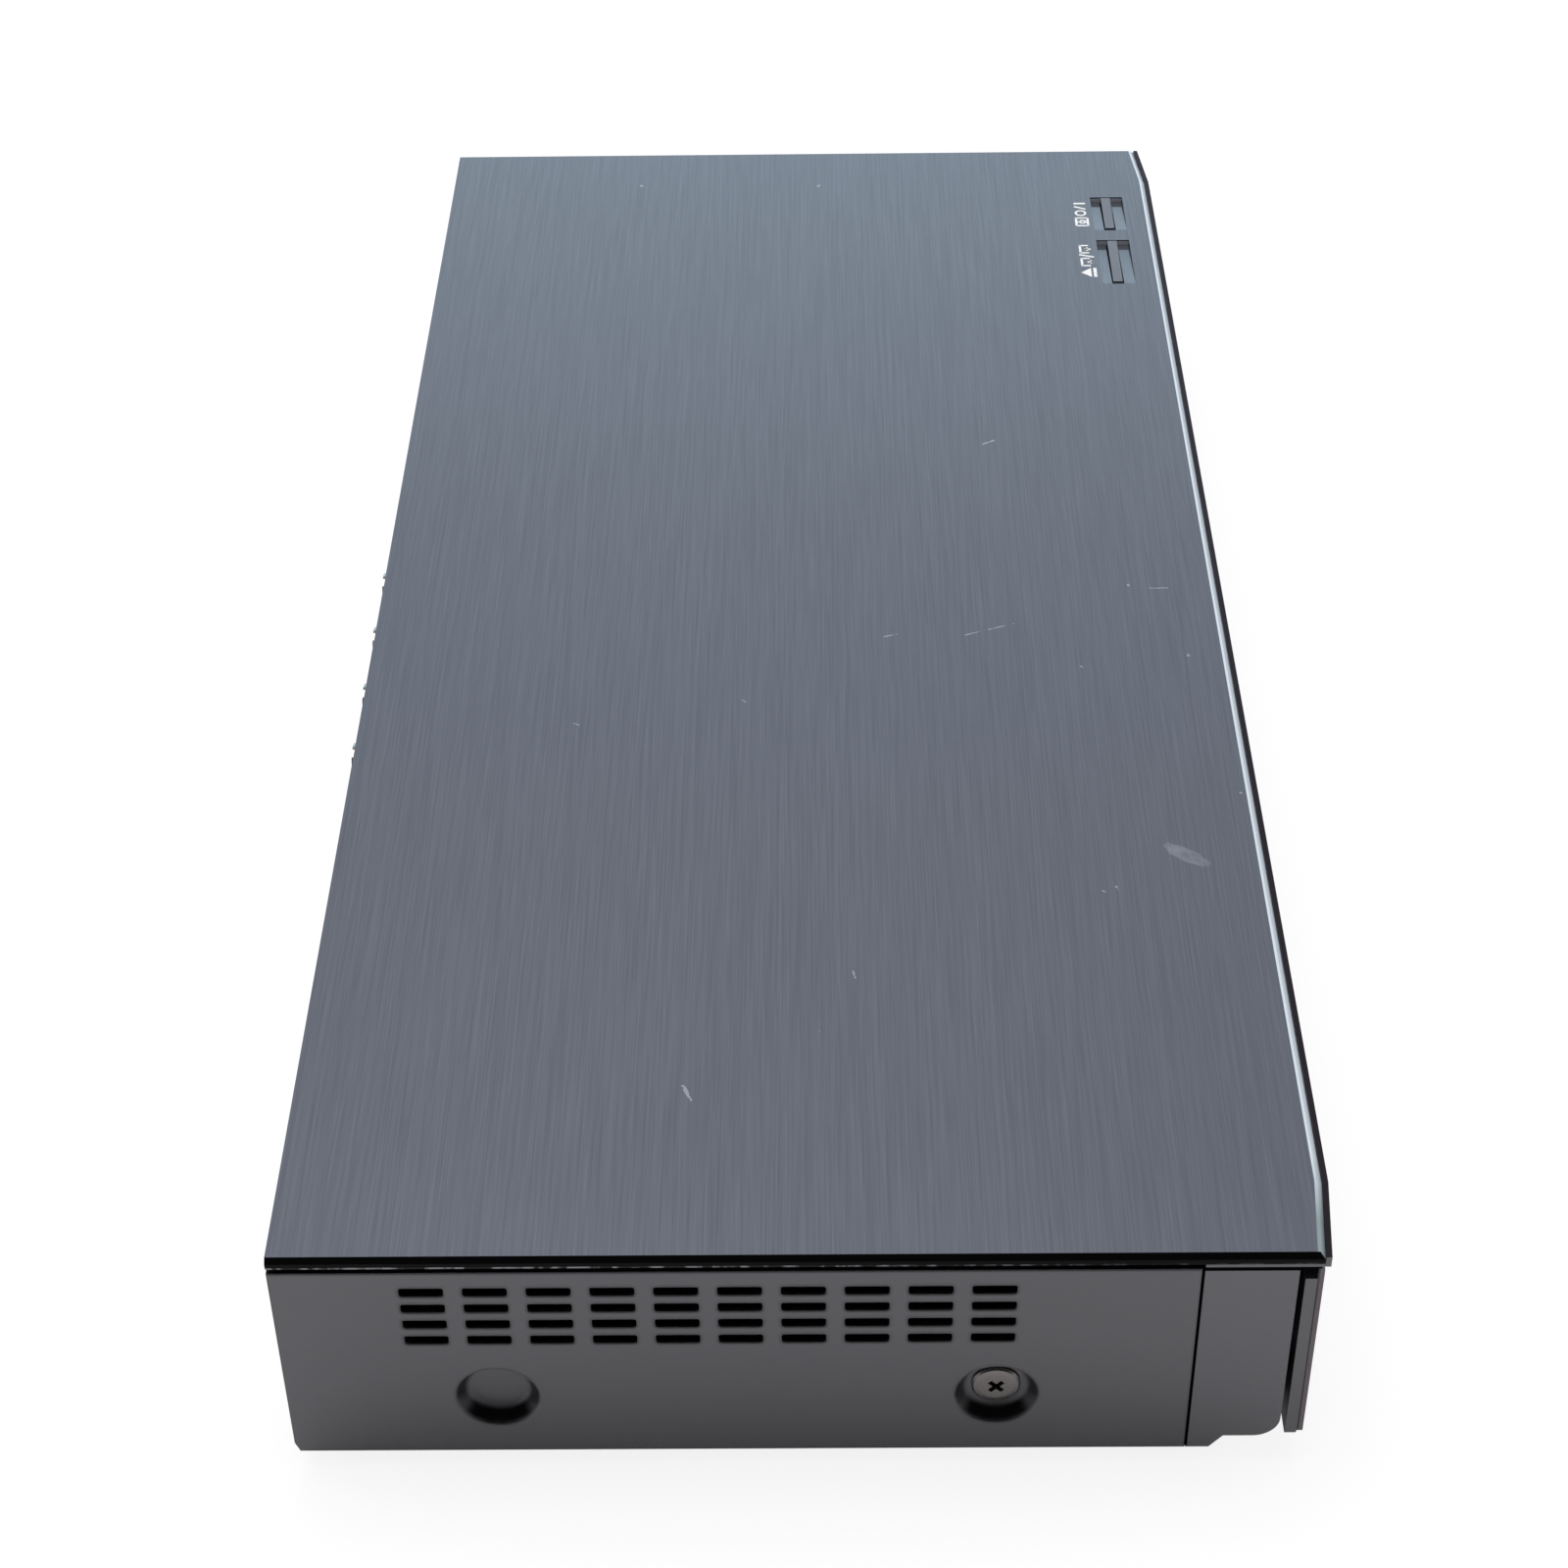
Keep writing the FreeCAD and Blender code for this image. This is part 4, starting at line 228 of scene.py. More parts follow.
# Painted shade, near black, in the gaps round the two buttons; painted light on the scoops' end walls
BUTTON_LINE, GAP_SHADE_HALF, SCOOP_HALF = 0.0908, 0.00165, 0.03
SCOOPS = ((0.1674, 0.186), (0.1380, 0.1615))
beside = maths(tree, "ABSOLUTE", maths(tree, "ADD", parts[1], BUTTON_LINE))
slot = maths(tree, "LESS_THAN", beside, GAP_SHADE_HALF)
reach = 0.0
for start, end in SCOOPS:
    within = maths(tree, "ABSOLUTE", maths(tree, "SUBTRACT", parts[0], (start + end) / 2))
    reach = maths(tree, "MAXIMUM", reach, maths(tree, "LESS_THAN", within, (end - start) / 2))
slot = maths(tree, "MULTIPLY", slot, reach)
# Painted shade: the film is near black in the button gaps
film = blend_of(tree, slot, film, paint("#050506"))
# Chipped paint on the lower edge of the plate's left end
chips = ramp(tree, cloud, 0.46, 0.6, 0.06, 0.9)
low_edge = maths(tree, "MULTIPLY", ramp(tree, height, PLATE_TOP - 0.00188, PLATE_TOP - 0.00198), chips)
low_edge = maths(tree, "MULTIPLY", low_edge, ramp(tree, parts[1], -0.06, 0.0, 0.15, 1.0))
low_edge = maths(tree, "MULTIPLY", low_edge, ramp(tree, facing[0], -0.5, -0.7))
rim = blend_of(tree, low_edge, paint("#040405"), paint("#a9acb0"))
# Painted light: below a thin black line at their top, the scoops' end walls are painted pale grey, lighter
# than their shade
painted_light_end_wall = maths(tree, "MULTIPLY", ramp(tree, height, PLATE_TOP - 0.0003, PLATE_TOP - 0.0004), maths(
    tree, "LESS_THAN", beside, maths(tree, "MULTIPLY", parts[0], SCOOP_HALF)))
painted_light_end_wall = maths(tree, "MULTIPLY", painted_light_end_wall, ramp(tree, facing[0], -0.5, -0.7))
rim = blend_of(tree, painted_light_end_wall, rim, paint("#b4bac2"))
skin = blend_of(tree, on_top, rim, film)
# The painted highlight is greyer near the plate's left end and near white elsewhere
cut = blend_of(tree, ramp(tree, parts[0], -0.206, -0.190), paint("#8d9da1"), paint("#dde8f2"))
drive(tree, shader, "Base Color", blend_of(tree, on_bevel, skin, cut))
gloss = maths(tree, "MULTIPLY", maths(tree, "MAXIMUM", on_top, on_bevel), maths(tree, "SUBTRACT", 1.0, slot))
drive(tree, shader, "Coat Weight", gloss)
drive(tree, shader, "Specular IOR Level", ramp(tree, gloss, 0.0, 1.0, 0.08, 0.5))
drive(tree, shader, "Roughness", ramp(tree, lines, 0.3, 0.7, 0.52, 0.42))
drive(tree, shader, "Metallic", ramp(tree, maths(tree, "SUBTRACT", on_top, on_bevel), 0.0, 1.0, 0.0, 0.35))
bump = add(tree, "ShaderNodeBump", {"Height": lines, "Strength": 0.12, "Distance": 0.0001})
drive(tree, shader, "Normal", bump.outputs[0])
dress(brushed, "top_plate")

# Marks behind the two buttons: white screen print, laid on the film after moulding.
# The printed words of the real plate are left off; plain on/off and open/close signs take their place.
INK, PRINT = 0.00001, 0.66
ink_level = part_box("top_plate")[1].z + INK
print_mesh = bmesh.new()


def stroke(points):
    """One flat inked shape, given by its corners in millimetres."""
    print_mesh.faces.new([print_mesh.verts.new((x / 1000, y / 1000, ink_level)) for x, y in points])


def bar(x0, y0, x1, y1, thick):
    """An inked line between two places."""
    run = Vector((x1 - x0, y1 - y0)).normalized() * thick / 2
    side = Vector((-run.y, run.x))
    stroke([(x0 + side.x, y0 + side.y), (x0 - side.x, y0 - side.y),
            (x1 - side.x, y1 - side.y), (x1 + side.x, y1 + side.y)])


def ring(x, y, radius, thick, start=0, end=360):
    """An inked ring, or the part of it between two angles."""
    steps = 24
    for k in range(steps):
        a, b = (math.radians(start + (end - start) * (k + j) / steps) for j in (0, 1))
        stroke([(x + r * math.cos(t), y + r * math.sin(t)) for r, t in (
            (radius - thick, a), (radius, a), (radius, b), (radius - thick, b))])


def panel_outline(x0, y0, x1, y1):
    """An inked outline with square corners."""
    for side in ((x0, y0, x1, y0), (x0, y1, x1, y1), (x0, y0, x0, y1), (x1, y0, x1, y1)):
        bar(*side, PRINT)


# Power: a key's sign in its frame, then ring, stroke and bar
panel_outline(170.2, -84.9, 174.6, -81.7)
ring(172.4, -83.4, 1.1, PRINT, 125, 415)
bar(172.4, -82.0, 172.4, -83.2, PRINT)
ring(177.4, -83.2, 1.65, 0.6)
bar(179.6, -84.8, 181.2, -81.6, PRINT)
bar(182.9, -81.6, 182.9, -84.9, 0.85)
# Tray: an eject sign, then a drawer that opens and one that shuts
stroke([(141.8, -83.9), (146.6, -83.9), (144.2, -81.1)])
bar(141.8, -84.95, 146.6, -84.95, 0.9)
bar(152.6, -85.2, 154.0, -81.2, PRINT)
for left, tip, back_off in ((147.9, -84.9, 0.9), (155.0, -82.9, -0.9)):
    bar(left, -81.7, left + 4.0, -81.7, PRINT)
    bar(left, -81.5, left, -84.0, PRINT)
    bar(left + 4.0, -81.5, left + 4.0, -84.0, PRINT)
    bar(left + 2.0, tip + back_off * 1.9, left + 2.0, tip, PRINT)
    stroke([(left + 0.9, tip + back_off), (left + 3.1, tip + back_off), (left + 2.0, tip - back_off * 0.3)])


def stand(name, data):
    """Puts a mesh, lamp or camera in the scene."""
    item = bpy.data.objects.new(name, data)
    bpy.context.scene.collection.objects.link(item)
    return item


def closed(name, mesh):
    """Turns a mesh in work into a finished one, its faces outwards."""
    bmesh.ops.remove_doubles(mesh, verts=mesh.verts, dist=1e-7)
    bmesh.ops.recalc_face_normals(mesh, faces=mesh.faces)
    made = bpy.data.meshes.new(name)
    mesh.to_mesh(made)
    mesh.free()
    return made


def piece(name, mesh, body, slot, *materials):
    """A finished mesh as a new piece of the object, on the body that it rides on."""
    item = stand(name, mesh)
    for material in materials:
        mesh.materials.append(material)
    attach(item, body)
    return item


for face in print_mesh.faces:
    face.normal_update()
    if face.normal.z < 0:
        face.normal_flip()
ink, tree, shader = finish("white_print", Roughness=0.5)
wear = use(tree, streaks, Scale=(900.0, 900.0, 900.0))["Streak"]
wear = ramp(tree, wear, 0.3, 0.5)
drive(tree, shader, "Base Color", blend_of(tree, wear, paint("#dfe3e4"), paint("#ffffff")))
made = bpy.data.meshes.new("button_marks")
print_mesh.to_mesh(made)
print_mesh.free()
piece("button_marks", made, "root", "top_gloss", ink)

# Top buttons: two satin bars that stand flush in their scoops, with a flange and plunger below.
# They are moulded in the plate's own grey.
grain, given, out = effect("grain", {"Size": 0.0004, "Depth": 0.0001, "Strength": 0.3}, {
    "Tone": "NodeSocketFloat", "Fine": "NodeSocketFloat", "Normal": "NodeSocketVector"})
place = spot_on(grain)
fine = add(grain, "ShaderNodeTexNoise", {
    "Vector": place, "Scale": maths(grain, "DIVIDE", 1.0, given["Size"]), "Detail": 2.0})
slow = add(grain, "ShaderNodeTexNoise", {"Vector": place, "Scale": 24.0, "Detail": 3.0, "Roughness": 0.55})
bump = add(grain, "ShaderNodeBump", {
    "Height": fine.outputs["Fac"], "Distance": given["Depth"], "Strength": given["Strength"]})
grain.links.new(slow.outputs["Fac"], out.inputs["Tone"])
grain.links.new(fine.outputs["Fac"], out.inputs["Fine"])
grain.links.new(bump.outputs[0], out.inputs["Normal"])


def moulded(name, dark, light, rough, size=0.0004, strength=0.3, specks=0.0, flank=None, shine=0.5,
            turn=(0.5, 0.7), seam=None, bent=0.0, **fixed):
    """Moulded or coated surface: uneven tone, pebbled grain and a little dust.
    Upright faces may take another colour than faces turned up (painted shade on the buttons and the cover),
    the tops their own shine, and a seam gets a near black painted shade line."""
    made, tree, shader = finish(name, **fixed)
    skin = use(tree, grain, Size=size, Depth=size / 4, Strength=strength)
    colour = blend_of(tree, ramp(tree, skin["Tone"], 0.3, 0.7), paint(dark), paint(light))
    normal = skin["Normal"]
    if bent:
        normal = add(tree, "ShaderNodeBevel", {"Radius": bent, "Normal": normal}, samples=4).outputs[0]
    drive(tree, shader, "Normal", normal)
    level = None
    if flank:
        up = add(tree, "ShaderNodeSeparateXYZ", {0: normal}).outputs[2]
        colour = blend_of(tree, ramp(tree, up, *turn), paint(flank), colour)
        level = ramp(tree, up, *turn, 0.5, shine)
    if seam:
        # Painted shade: a near black line along the seam
        away = maths(tree, "ABSOLUTE", maths(tree, "SUBTRACT", place_on(tree)[1], seam))
        clear_of_seam_shade = ramp(tree, away, 0.00025, 0.0004)
        colour = blend_of(tree, clear_of_seam_shade, paint("#020202"), colour)
        level = maths(tree, "MULTIPLY", clear_of_seam_shade, level or 0.5)
    if specks:
        colour = blend_of(tree, use(tree, dust, Scale=90.0, Share=specks, Size=0.06)["Mask"], colour,
                          paint("#8f9193"))
    drive(tree, shader, "Base Color", colour)
    if level:
        drive(tree, shader, "Specular IOR Level", level)
    drive(tree, shader, "Roughness", ramp(tree, skin["Fine"], 0.25, 0.75, rough + 0.06, rough - 0.06))
    return made


# The buttons' upright sides are painted near black: painted shade in the gaps beside the bars
dress(moulded("button_grey", "#6e737d", "#7a7f89", 0.42, 0.0002, 0.15, flank="#0a0a0b"),
      "power_button", "eject_button")

# Cover: one folded steel sheet with a black satin powder coat. One screw holds each side, in its
# front dimple, and the rear dimple stays empty. Its vents are punched and its dimples pressed, so their edges
# catch the light.
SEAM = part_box("front_frame")[1].y
# Painted shade: faces turned upward, such as the dimples' lower walls, are near black, and upright faces
# lighter; a painted shade line runs along the seam with the frame
coat = moulded("powder_coat", "#050506", "#070708", 0.33, 0.0003, 0.25, 0.02, flank="#17171b", shine=0.04,
               turn=(0.2, 0.6), seam=SEAM, bent=0.0014, IOR=2.2, Specular_Tint=(0.97, 0.95, 1.0, 1.0))
dress(coat, "top_cover")
screw_black = moulded("black_zinc", "#7d7877", "#8b8684", 0.30, 0.0002, 0.1, Metallic=1.0)


def turned_head(mesh, centre, axis, profile, steps=40):
    """A turned head about an axis, from (radius, distance out) pairs; ends are closed."""
    up = Vector(axis).normalized()
    side = up.orthogonal().normalized()
    across = up.cross(side)
    rings = []
    for radius, out_by in profile:
        if radius < 1e-9:
            rings.append([mesh.verts.new(Vector(centre) + up * out_by)])
            continue
        rings.append([mesh.verts.new(Vector(centre) + up * out_by + (
            side * math.cos(2 * math.pi * k / steps) + across * math.sin(2 * math.pi * k / steps)) * radius)
            for k in range(steps)])
    for a, b in zip(rings, rings[1:]):
        for k in range(steps):
            j = (k + 1) % steps
            if len(a) == 1:
                mesh.faces.new((a[0], b[k], b[j]))
            elif len(b) == 1:
                mesh.faces.new((a[k], a[j], b[0]))
            else:
                mesh.faces.new((a[k], a[j], b[j], b[k]))


def cross_cutter(mesh, centre, axis, reach, half, deep):
    """A tapered plus-shaped block that cuts a driver's recess."""
    up = Vector(axis).normalized()
    side = up.orthogonal().normalized()
    across = up.cross(side)
    loops = []
    for level, r, w in ((-deep, reach * 0.4, half * 0.6), (deep * 0.3, reach, half)):
        outline = ((r, -w), (r, w), (w, w), (w, r), (-w, r), (-w, w),
                   (-r, w), (-r, -w), (-w, -w), (-w, -r), (w, -r), (w, -w))
        middle = Vector(centre) + up * level
        loops.append([mesh.verts.new(middle + side * a + across * b) for a, b in outline])
    low, high = loops
    mesh.faces.new(low[::-1])
    mesh.faces.new(high)
    for k in range(12):
        mesh.faces.new((low[k], low[(k + 1) % 12], high[(k + 1) % 12], high[k]))


def settled(name, item):
    """The item's mesh with its modifiers worked in."""
    graph = bpy.context.evaluated_depsgraph_get()
    made = bpy.data.meshes.new_from_object(item.evaluated_get(graph), depsgraph=graph)
    made.name = name
    return made


def screw_mesh(name, heads, radius, thick, shank, reach, half, deep):
    """Domed cross-head screws at the given places; each head stands out along its own axis."""
    body, cutter = bmesh.new(), bmesh.new()
    for centre, axis in heads:
        turned_head(body, centre, axis, (
            (0.0, -shank), (radius * 0.3, -shank), (radius * 0.32, -shank / 20), (radius * 0.92, 0.0),
            (radius, thick * 0.15), (radius * 0.99, thick * 0.42), (radius * 0.9, thick * 0.76),
            (radius * 0.7, thick * 0.93), (radius * 0.45, thick), (0.0, thick)))
        top = Vector(centre) + Vector(axis).normalized() * thick
        cross_cutter(cutter, top, axis, reach, half, deep)
    blank, tool = (stand(name + word, closed(name + word, mesh)) for word, mesh in (
        ("_blank", body), ("_cutter", cutter)))
    cut = blank.modifiers.new("recess", "BOOLEAN")
    cut.object = tool
    cut.operation = "DIFFERENCE"
    cut.solver = "EXACT"
    result = settled(name, blank)
    for item in (blank, tool):
        bpy.data.objects.remove(item)
    return result


SIDE_SEAT = 0.212
SIDE_HEAD = {"radius": 0.0048, "thick": 0.001, "shank": 0.006, "reach": 0.0021, "half": 0.00055,
             "deep": 0.0024}
low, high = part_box("side_screws")
mid_y, mid_z = (low.y + high.y) / 2, (low.z + high.z) / 2
item = piece("side_screw_heads", screw_mesh(
    "side_screw_heads", [((side * SIDE_SEAT, mid_y, mid_z), (side, 0, 0)) for side in (-1, 1)],
    **SIDE_HEAD), "root", "black_screw", screw_black)
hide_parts("side_screws")

# Front frame: one black moulding that holds the door, the sockets and the display.
# Its cheeks follow the cover's ends and its lip runs along the top plate's front edge.
# A painted shade line, near black, runs along its seam with the cover
frame_black = moulded("frame_black", "#190f15", "#21161d", 0.38, 0.00035, 0.25, 0.02, flank="#222125",
                      shine=0.05, seam=SEAM, IOR=2.3, Specular_Tint=(0.96, 0.95, 1.0, 1.0))
dress(frame_black, "front_frame")
dress(moulded("magnet_grey", "#3a3a3d", "#4a4a4d", 0.45, 0.0003, 0.3, Metallic=0.5), "door_magnets")

# Door: a black backing with a clear smoked front bonded on it, on two steel pins at the bottom.
# The tray's own bezel has the same gloss and fills the notch at the door's top left.
dress(moulded("backing_black", "#232227", "#2b2a30", 0.38, 0.0004, 0.06, IOR=2.15), "door_backing")
smoked, tree, shader = finish("smoked_acrylic", Roughness=0.02, IOR=1.49, Transmission_Weight=0.65,
                              Coat_Weight=0.3, Coat_Roughness=0.03)
smears = use(tree, grain, Size=0.02, Depth=0.0002, Strength=0.05)
tone = blend_of(tree, ramp(tree, smears["Tone"], 0.3, 0.7), paint("#3a3440"), paint("#423c49"))
# Its sawn ends scatter the light, and a dark line of glue shows behind them
sawn = ramp(tree, maths(tree, "ABSOLUTE", facing_of(tree)[0]), 0.6, 0.8)
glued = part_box("door_window")[1].y
bond = maths(tree, "MULTIPLY", sawn, ramp(tree, place_on(tree)[1], glued - 0.0004, glued - 0.0003))
tone = blend_of(tree, sawn, tone, paint("#a08f9b"))
drive(tree, shader, "Base Color", blend_of(tree, bond, tone, paint("#050405")))
drive(tree, shader, "Roughness", maths(tree, "ADD", ramp(tree, smears["Fine"], 0.3, 0.7, 0.02, 0.06),
                                        maths(tree, "MULTIPLY", sawn, 0.35)))
dress(smoked, "door_window")
gloss, tree, shader = finish("bezel_gloss", Coat_Weight=1.0, Coat_Roughness=0.03)
smears = use(tree, grain, Size=0.03, Depth=0.0002, Strength=0.05)
tone = blend_of(tree, ramp(tree, smears["Tone"], 0.3, 0.7), paint("#141318"), paint("#1b1a20"))
drive(tree, shader, "Base Color", tone)
drive(tree, shader, "Roughness", ramp(tree, smears["Fine"], 0.3, 0.7, 0.2, 0.3))
dress(gloss, "tray_bezel")


def rolled(name, dark, light, rough, scale, fleck=0.0):
    """Sheet or turned metal: fine lines from the roll or tool, with a cloudy tone."""
    made, tree, shader = finish(name, Metallic=1.0)
    lines = use(tree, streaks, Scale=scale)["Streak"]
    skin = use(tree, grain, Size=0.0006, Depth=0.00005, Strength=0.2)
    share = maths(tree, "MULTIPLY_ADD", lines, 0.6, maths(tree, "MULTIPLY", skin["Tone"], 0.4))
    if fleck:
        cells = add(tree, "ShaderNodeTexVoronoi", {
            "Vector": spot_on(tree), "Scale": fleck})
        spangle = add(tree, "ShaderNodeSeparateColor", {0: cells.outputs["Color"]}).outputs[0]
        share = maths(tree, "MULTIPLY_ADD", spangle, 0.35, maths(tree, "MULTIPLY", share, 0.65))
    drive(tree, shader, "Base Color", blend_of(tree, ramp(tree, share, 0.3, 0.7), paint(dark), paint(light)))
    drive(tree, shader, "Roughness", ramp(tree, share, 0.3, 0.7, rough + 0.08, rough - 0.08))
    drive(tree, shader, "Normal", skin["Normal"])
    return made


steel = rolled("bright_steel", "#a4a5a7", "#c6c7c8", 0.28, (40.0, 900.0, 900.0))
dress(steel, "door_pins", "front_usb_socket", "hdmi_socket", "lan_socket", "tuner_can")

# Display and boards: tinned copper on green boards, and a tan one for the mains part.
# The display is a dark glass block that shows through the smoked door only when lit.
glass, tree, shader = finish("display_glass", Roughness=0.08, Coat_Weight=1.0, Coat_Roughness=0.02)
cells = add(tree, "ShaderNodeTexBrick", {
    "Vector": add(tree, "ShaderNodeMapping", {
        "Vector": spot_on(tree), "Rotation": (math.pi / 2, 0, 0)}).outputs[0],
    "Color1": paint("#0b1216"), "Color2": paint("#0e171b"), "Mortar": paint("#050708"), "Scale": 1.0,
    "Mortar Size": 0.0004, "Brick Width": 0.008, "Row Height": 0.012})
drive(tree, shader, "Base Color", cells.outputs["Color"])
dress(glass, "display")


def board(name, dark, light, top=None):
    """Solder resist over copper, with paler tracks.
    What stands above the top is dark resin or sleeve, and tall cans show bare aluminium ends."""
    made, tree, shader = finish(name, Roughness=0.35, IOR=1.5)
    place = spot_on(tree)
    tracks = add(tree, "ShaderNodeTexBrick", {
        "Vector": place, "Scale": 1.0, "Mortar Size": 0.00025, "Brick Width": 0.0062, "Row Height": 0.0018,
        "Color1": paint(dark), "Color2": paint(dark), "Mortar": paint(light)})
    cells = add(tree, "ShaderNodeTexVoronoi", {"Vector": place, "Scale": 160.0})
    pads = maths(tree, "LESS_THAN", cells.outputs["Distance"], 0.16)
    colour = blend_of(tree, pads, tracks.outputs["Color"], paint("#b9b6a8"))
    skin = use(tree, grain, Size=0.0009, Depth=0.00008, Strength=0.3)
    shiny = pads
    if top:
        height = add(tree, "ShaderNodeSeparateXYZ", {0: place}).outputs[2]
        up = add(tree, "ShaderNodeSeparateXYZ", {0: skin["Normal"]}).outputs[2]
        end = maths(tree, "MULTIPLY", ramp(tree, height, top + 0.004, top + 0.0041), ramp(tree, up, 0.7, 0.8))
        sleeve = blend_of(tree, ramp(tree, skin["Tone"], 0.45, 0.55), paint("#17181c"), paint("#22252e"))
        part = blend_of(tree, end, sleeve, paint("#b3b5b7"))
        raised = ramp(tree, height, top + 0.0003, top + 0.0004)
        colour = blend_of(tree, raised, colour, part)
        bare = maths(tree, "MULTIPLY", pads, maths(tree, "SUBTRACT", 1.0, raised))
        shiny = maths(tree, "MAXIMUM", end, bare)
    drive(tree, shader, "Base Color", colour)
    drive(tree, shader, "Metallic", shiny)
    drive(tree, shader, "Normal", skin["Normal"])
    return made


board_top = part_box("chassis_screws")[0].z
dress(board("green_board", "#0d4a2a", "#1d6b42"), "front_board", "switch_board", "hard_disk_board")
dress(board("main_board_green", "#0d4a2a", "#1d6b42", board_top), "main_board")
dress(board("power_board_tan", "#7a5a2c", "#8d6c3b", board_top), "power_board")


def grow(name, tree, inputs):
    """Runs a geometry tree once and returns its result as a plain mesh."""
    seed = stand(name + "_seed", bpy.data.meshes.new(name + "_seed"))
    step = seed.modifiers.new("grow", "NODES")
    step.node_group = tree
    for socket in tree.interface.items_tree:
        if socket.in_out == "INPUT" and socket.name in inputs:
            step[socket.identifier] = inputs[socket.name]
    result = settled(name, seed)
    seed.modifiers.remove(step)
    bpy.data.objects.remove(seed)
    result.materials.pop(index=0)
    return result


def geometry_tree(name, takes):
    """A new geometry tree with its named inputs; returns it and them."""
    tree = bpy.data.node_groups.new(name, "GeometryNodeTree")
    for word, kind in takes.items():
        tree.interface.new_socket(word, in_out="INPUT", socket_type="NodeSocket" + kind)
    tree.interface.new_socket("Geometry", in_out="OUTPUT", socket_type="NodeSocketGeometry")
    return tree, add(tree, "NodeGroupInput").outputs


def end_tree(tree, points, given, **placing):
    """Sets the unit on every point, makes it real and gives it its finish."""
    unit = add(tree, "GeometryNodeObjectInfo", {"Object": given["Unit"]}).outputs["Geometry"]
    put = add(tree, "GeometryNodeInstanceOnPoints", {"Points": points, "Instance": unit, **placing})
    real = add(tree, "GeometryNodeRealizeInstances", {0: put.outputs[0]})
    done = add(tree, "GeometryNodeSetMaterial", {"Geometry": real.outputs[0], "Material": given["Finish"]})
    add(tree, "NodeGroupOutput", {0: done.outputs[0]})


def block(mesh, low, high):
    """A box between two corners."""
    made = bmesh.ops.create_cube(mesh, size=1.0)["verts"]
    for vert in made:
        vert.co = Vector([(a + b) / 2 + v * (b - a) for a, b, v in zip(low, high, vert.co)])


scatter, given = geometry_tree("soldered_parts", {
    "Unit": "Object", "Finish": "Material", "Long": "Float", "Deep": "Float", "Rows": "Int", "Columns": "Int",
    "Middle": "Vector", "Share": "Float", "Seed": "Int"})
grid = add(scatter, "GeometryNodeMeshGrid", {
    "Size X": given["Long"], "Size Y": given["Deep"], "Vertices X": given["Columns"],
    "Vertices Y": given["Rows"]}).outputs[0]
grid = add(scatter, "GeometryNodeTransform", {"Geometry": grid, "Translation": given["Middle"]}).outputs[0]
chance = add(scatter, "FunctionNodeRandomValue", data_type="BOOLEAN")
scatter.links.new(given["Share"], chance.inputs["Probability"])
scatter.links.new(given["Seed"], chance.inputs["Seed"])
quarter = add(scatter, "FunctionNodeRandomValue", data_type="INT")
quarter.inputs[5].default_value = 1  # no turn, or a quarter turn
scatter.links.new(given["Seed"], quarter.inputs["Seed"])
turn = maths(scatter, "MULTIPLY", quarter.outputs[2], math.pi / 2)
turned = add(scatter, "ShaderNodeCombineXYZ", {2: turn}).outputs[0]
end_tree(scatter, grid, given, Selection=chance.outputs[3], Rotation=turned)
# One part: a resin body between two soldered ends
BODY_LONG, BODY_HALF, BODY_TALL = 0.0007, 0.0004, 0.00045
END_FROM, END_TO, END_HALF, END_TALL = 0.0006, 0.0009, 0.00045, 0.0005
mesh = bmesh.new()
block(mesh, (-BODY_LONG, -BODY_HALF, 0), (BODY_LONG, BODY_HALF, BODY_TALL))
for side in (-1, 1):
    ends = sorted((side * END_FROM, side * END_TO))
    block(mesh, (ends[0], -END_HALF, 0), (ends[1], END_HALF, END_TALL))
unit = stand("chip_unit", closed("chip_unit", mesh))
part_skin = moulded("chip_resin", "#1a1a1b", "#3a342c", 0.4, 0.0006, 0.2)
PARTS_SHARE = 0.32
for name, middle, long, deep, columns, rows, seed in (
    ("main_board_parts", (0.048, -0.022), 0.105, 0.056, 36, 20, 3),
    ("power_board_parts", (0.178, 0.0), 0.04, 0.02, 12, 7, 5),
):
    rows_made = grow(name, scatter, {
        "Unit": unit, "Finish": part_skin, "Long": long, "Deep": deep, "Rows": rows, "Columns": columns,
        "Middle": (*middle, board_top), "Share": PARTS_SHARE, "Seed": seed})
    piece(name, rows_made, "root", "circuit_board")
bpy.data.objects.remove(unit)
socket_black = moulded("socket_black", "#151517", "#1e1e20", 0.45, 0.0003, 0.3)
dress(socket_black, "memory_card_socket", "access_card_socket", "mains_inlet", "fan_frame", "fan_rotor")

# Feet: black moulded discs with a soft pad let into each.
# The pads are rubber, so they hold dust and keep a matt surface, as do the drive's belt and the tape.
dress(moulded("foot_black", "#161617", "#1f1f20", 0.5, 0.0005, 0.4), "feet")
dress(moulded("pad_rubber", "#121213", "#232324", 0.8, 0.0007, 0.6, 0.3),
      "foot_pads", "loading_belt", "plate_tape")

# Chassis and rear panel: zinc-plated sheet, folded and punched.
# The rear panel is screwed to the chassis and to the cover's back edge.
zinc = rolled("zinc_sheet", "#9b9d9e", "#adafb0", 0.36, (30.0, 900.0, 900.0), 900.0)
dress(zinc, "bottom_chassis", "rear_panel", "drive_cover", "traverse_frame")


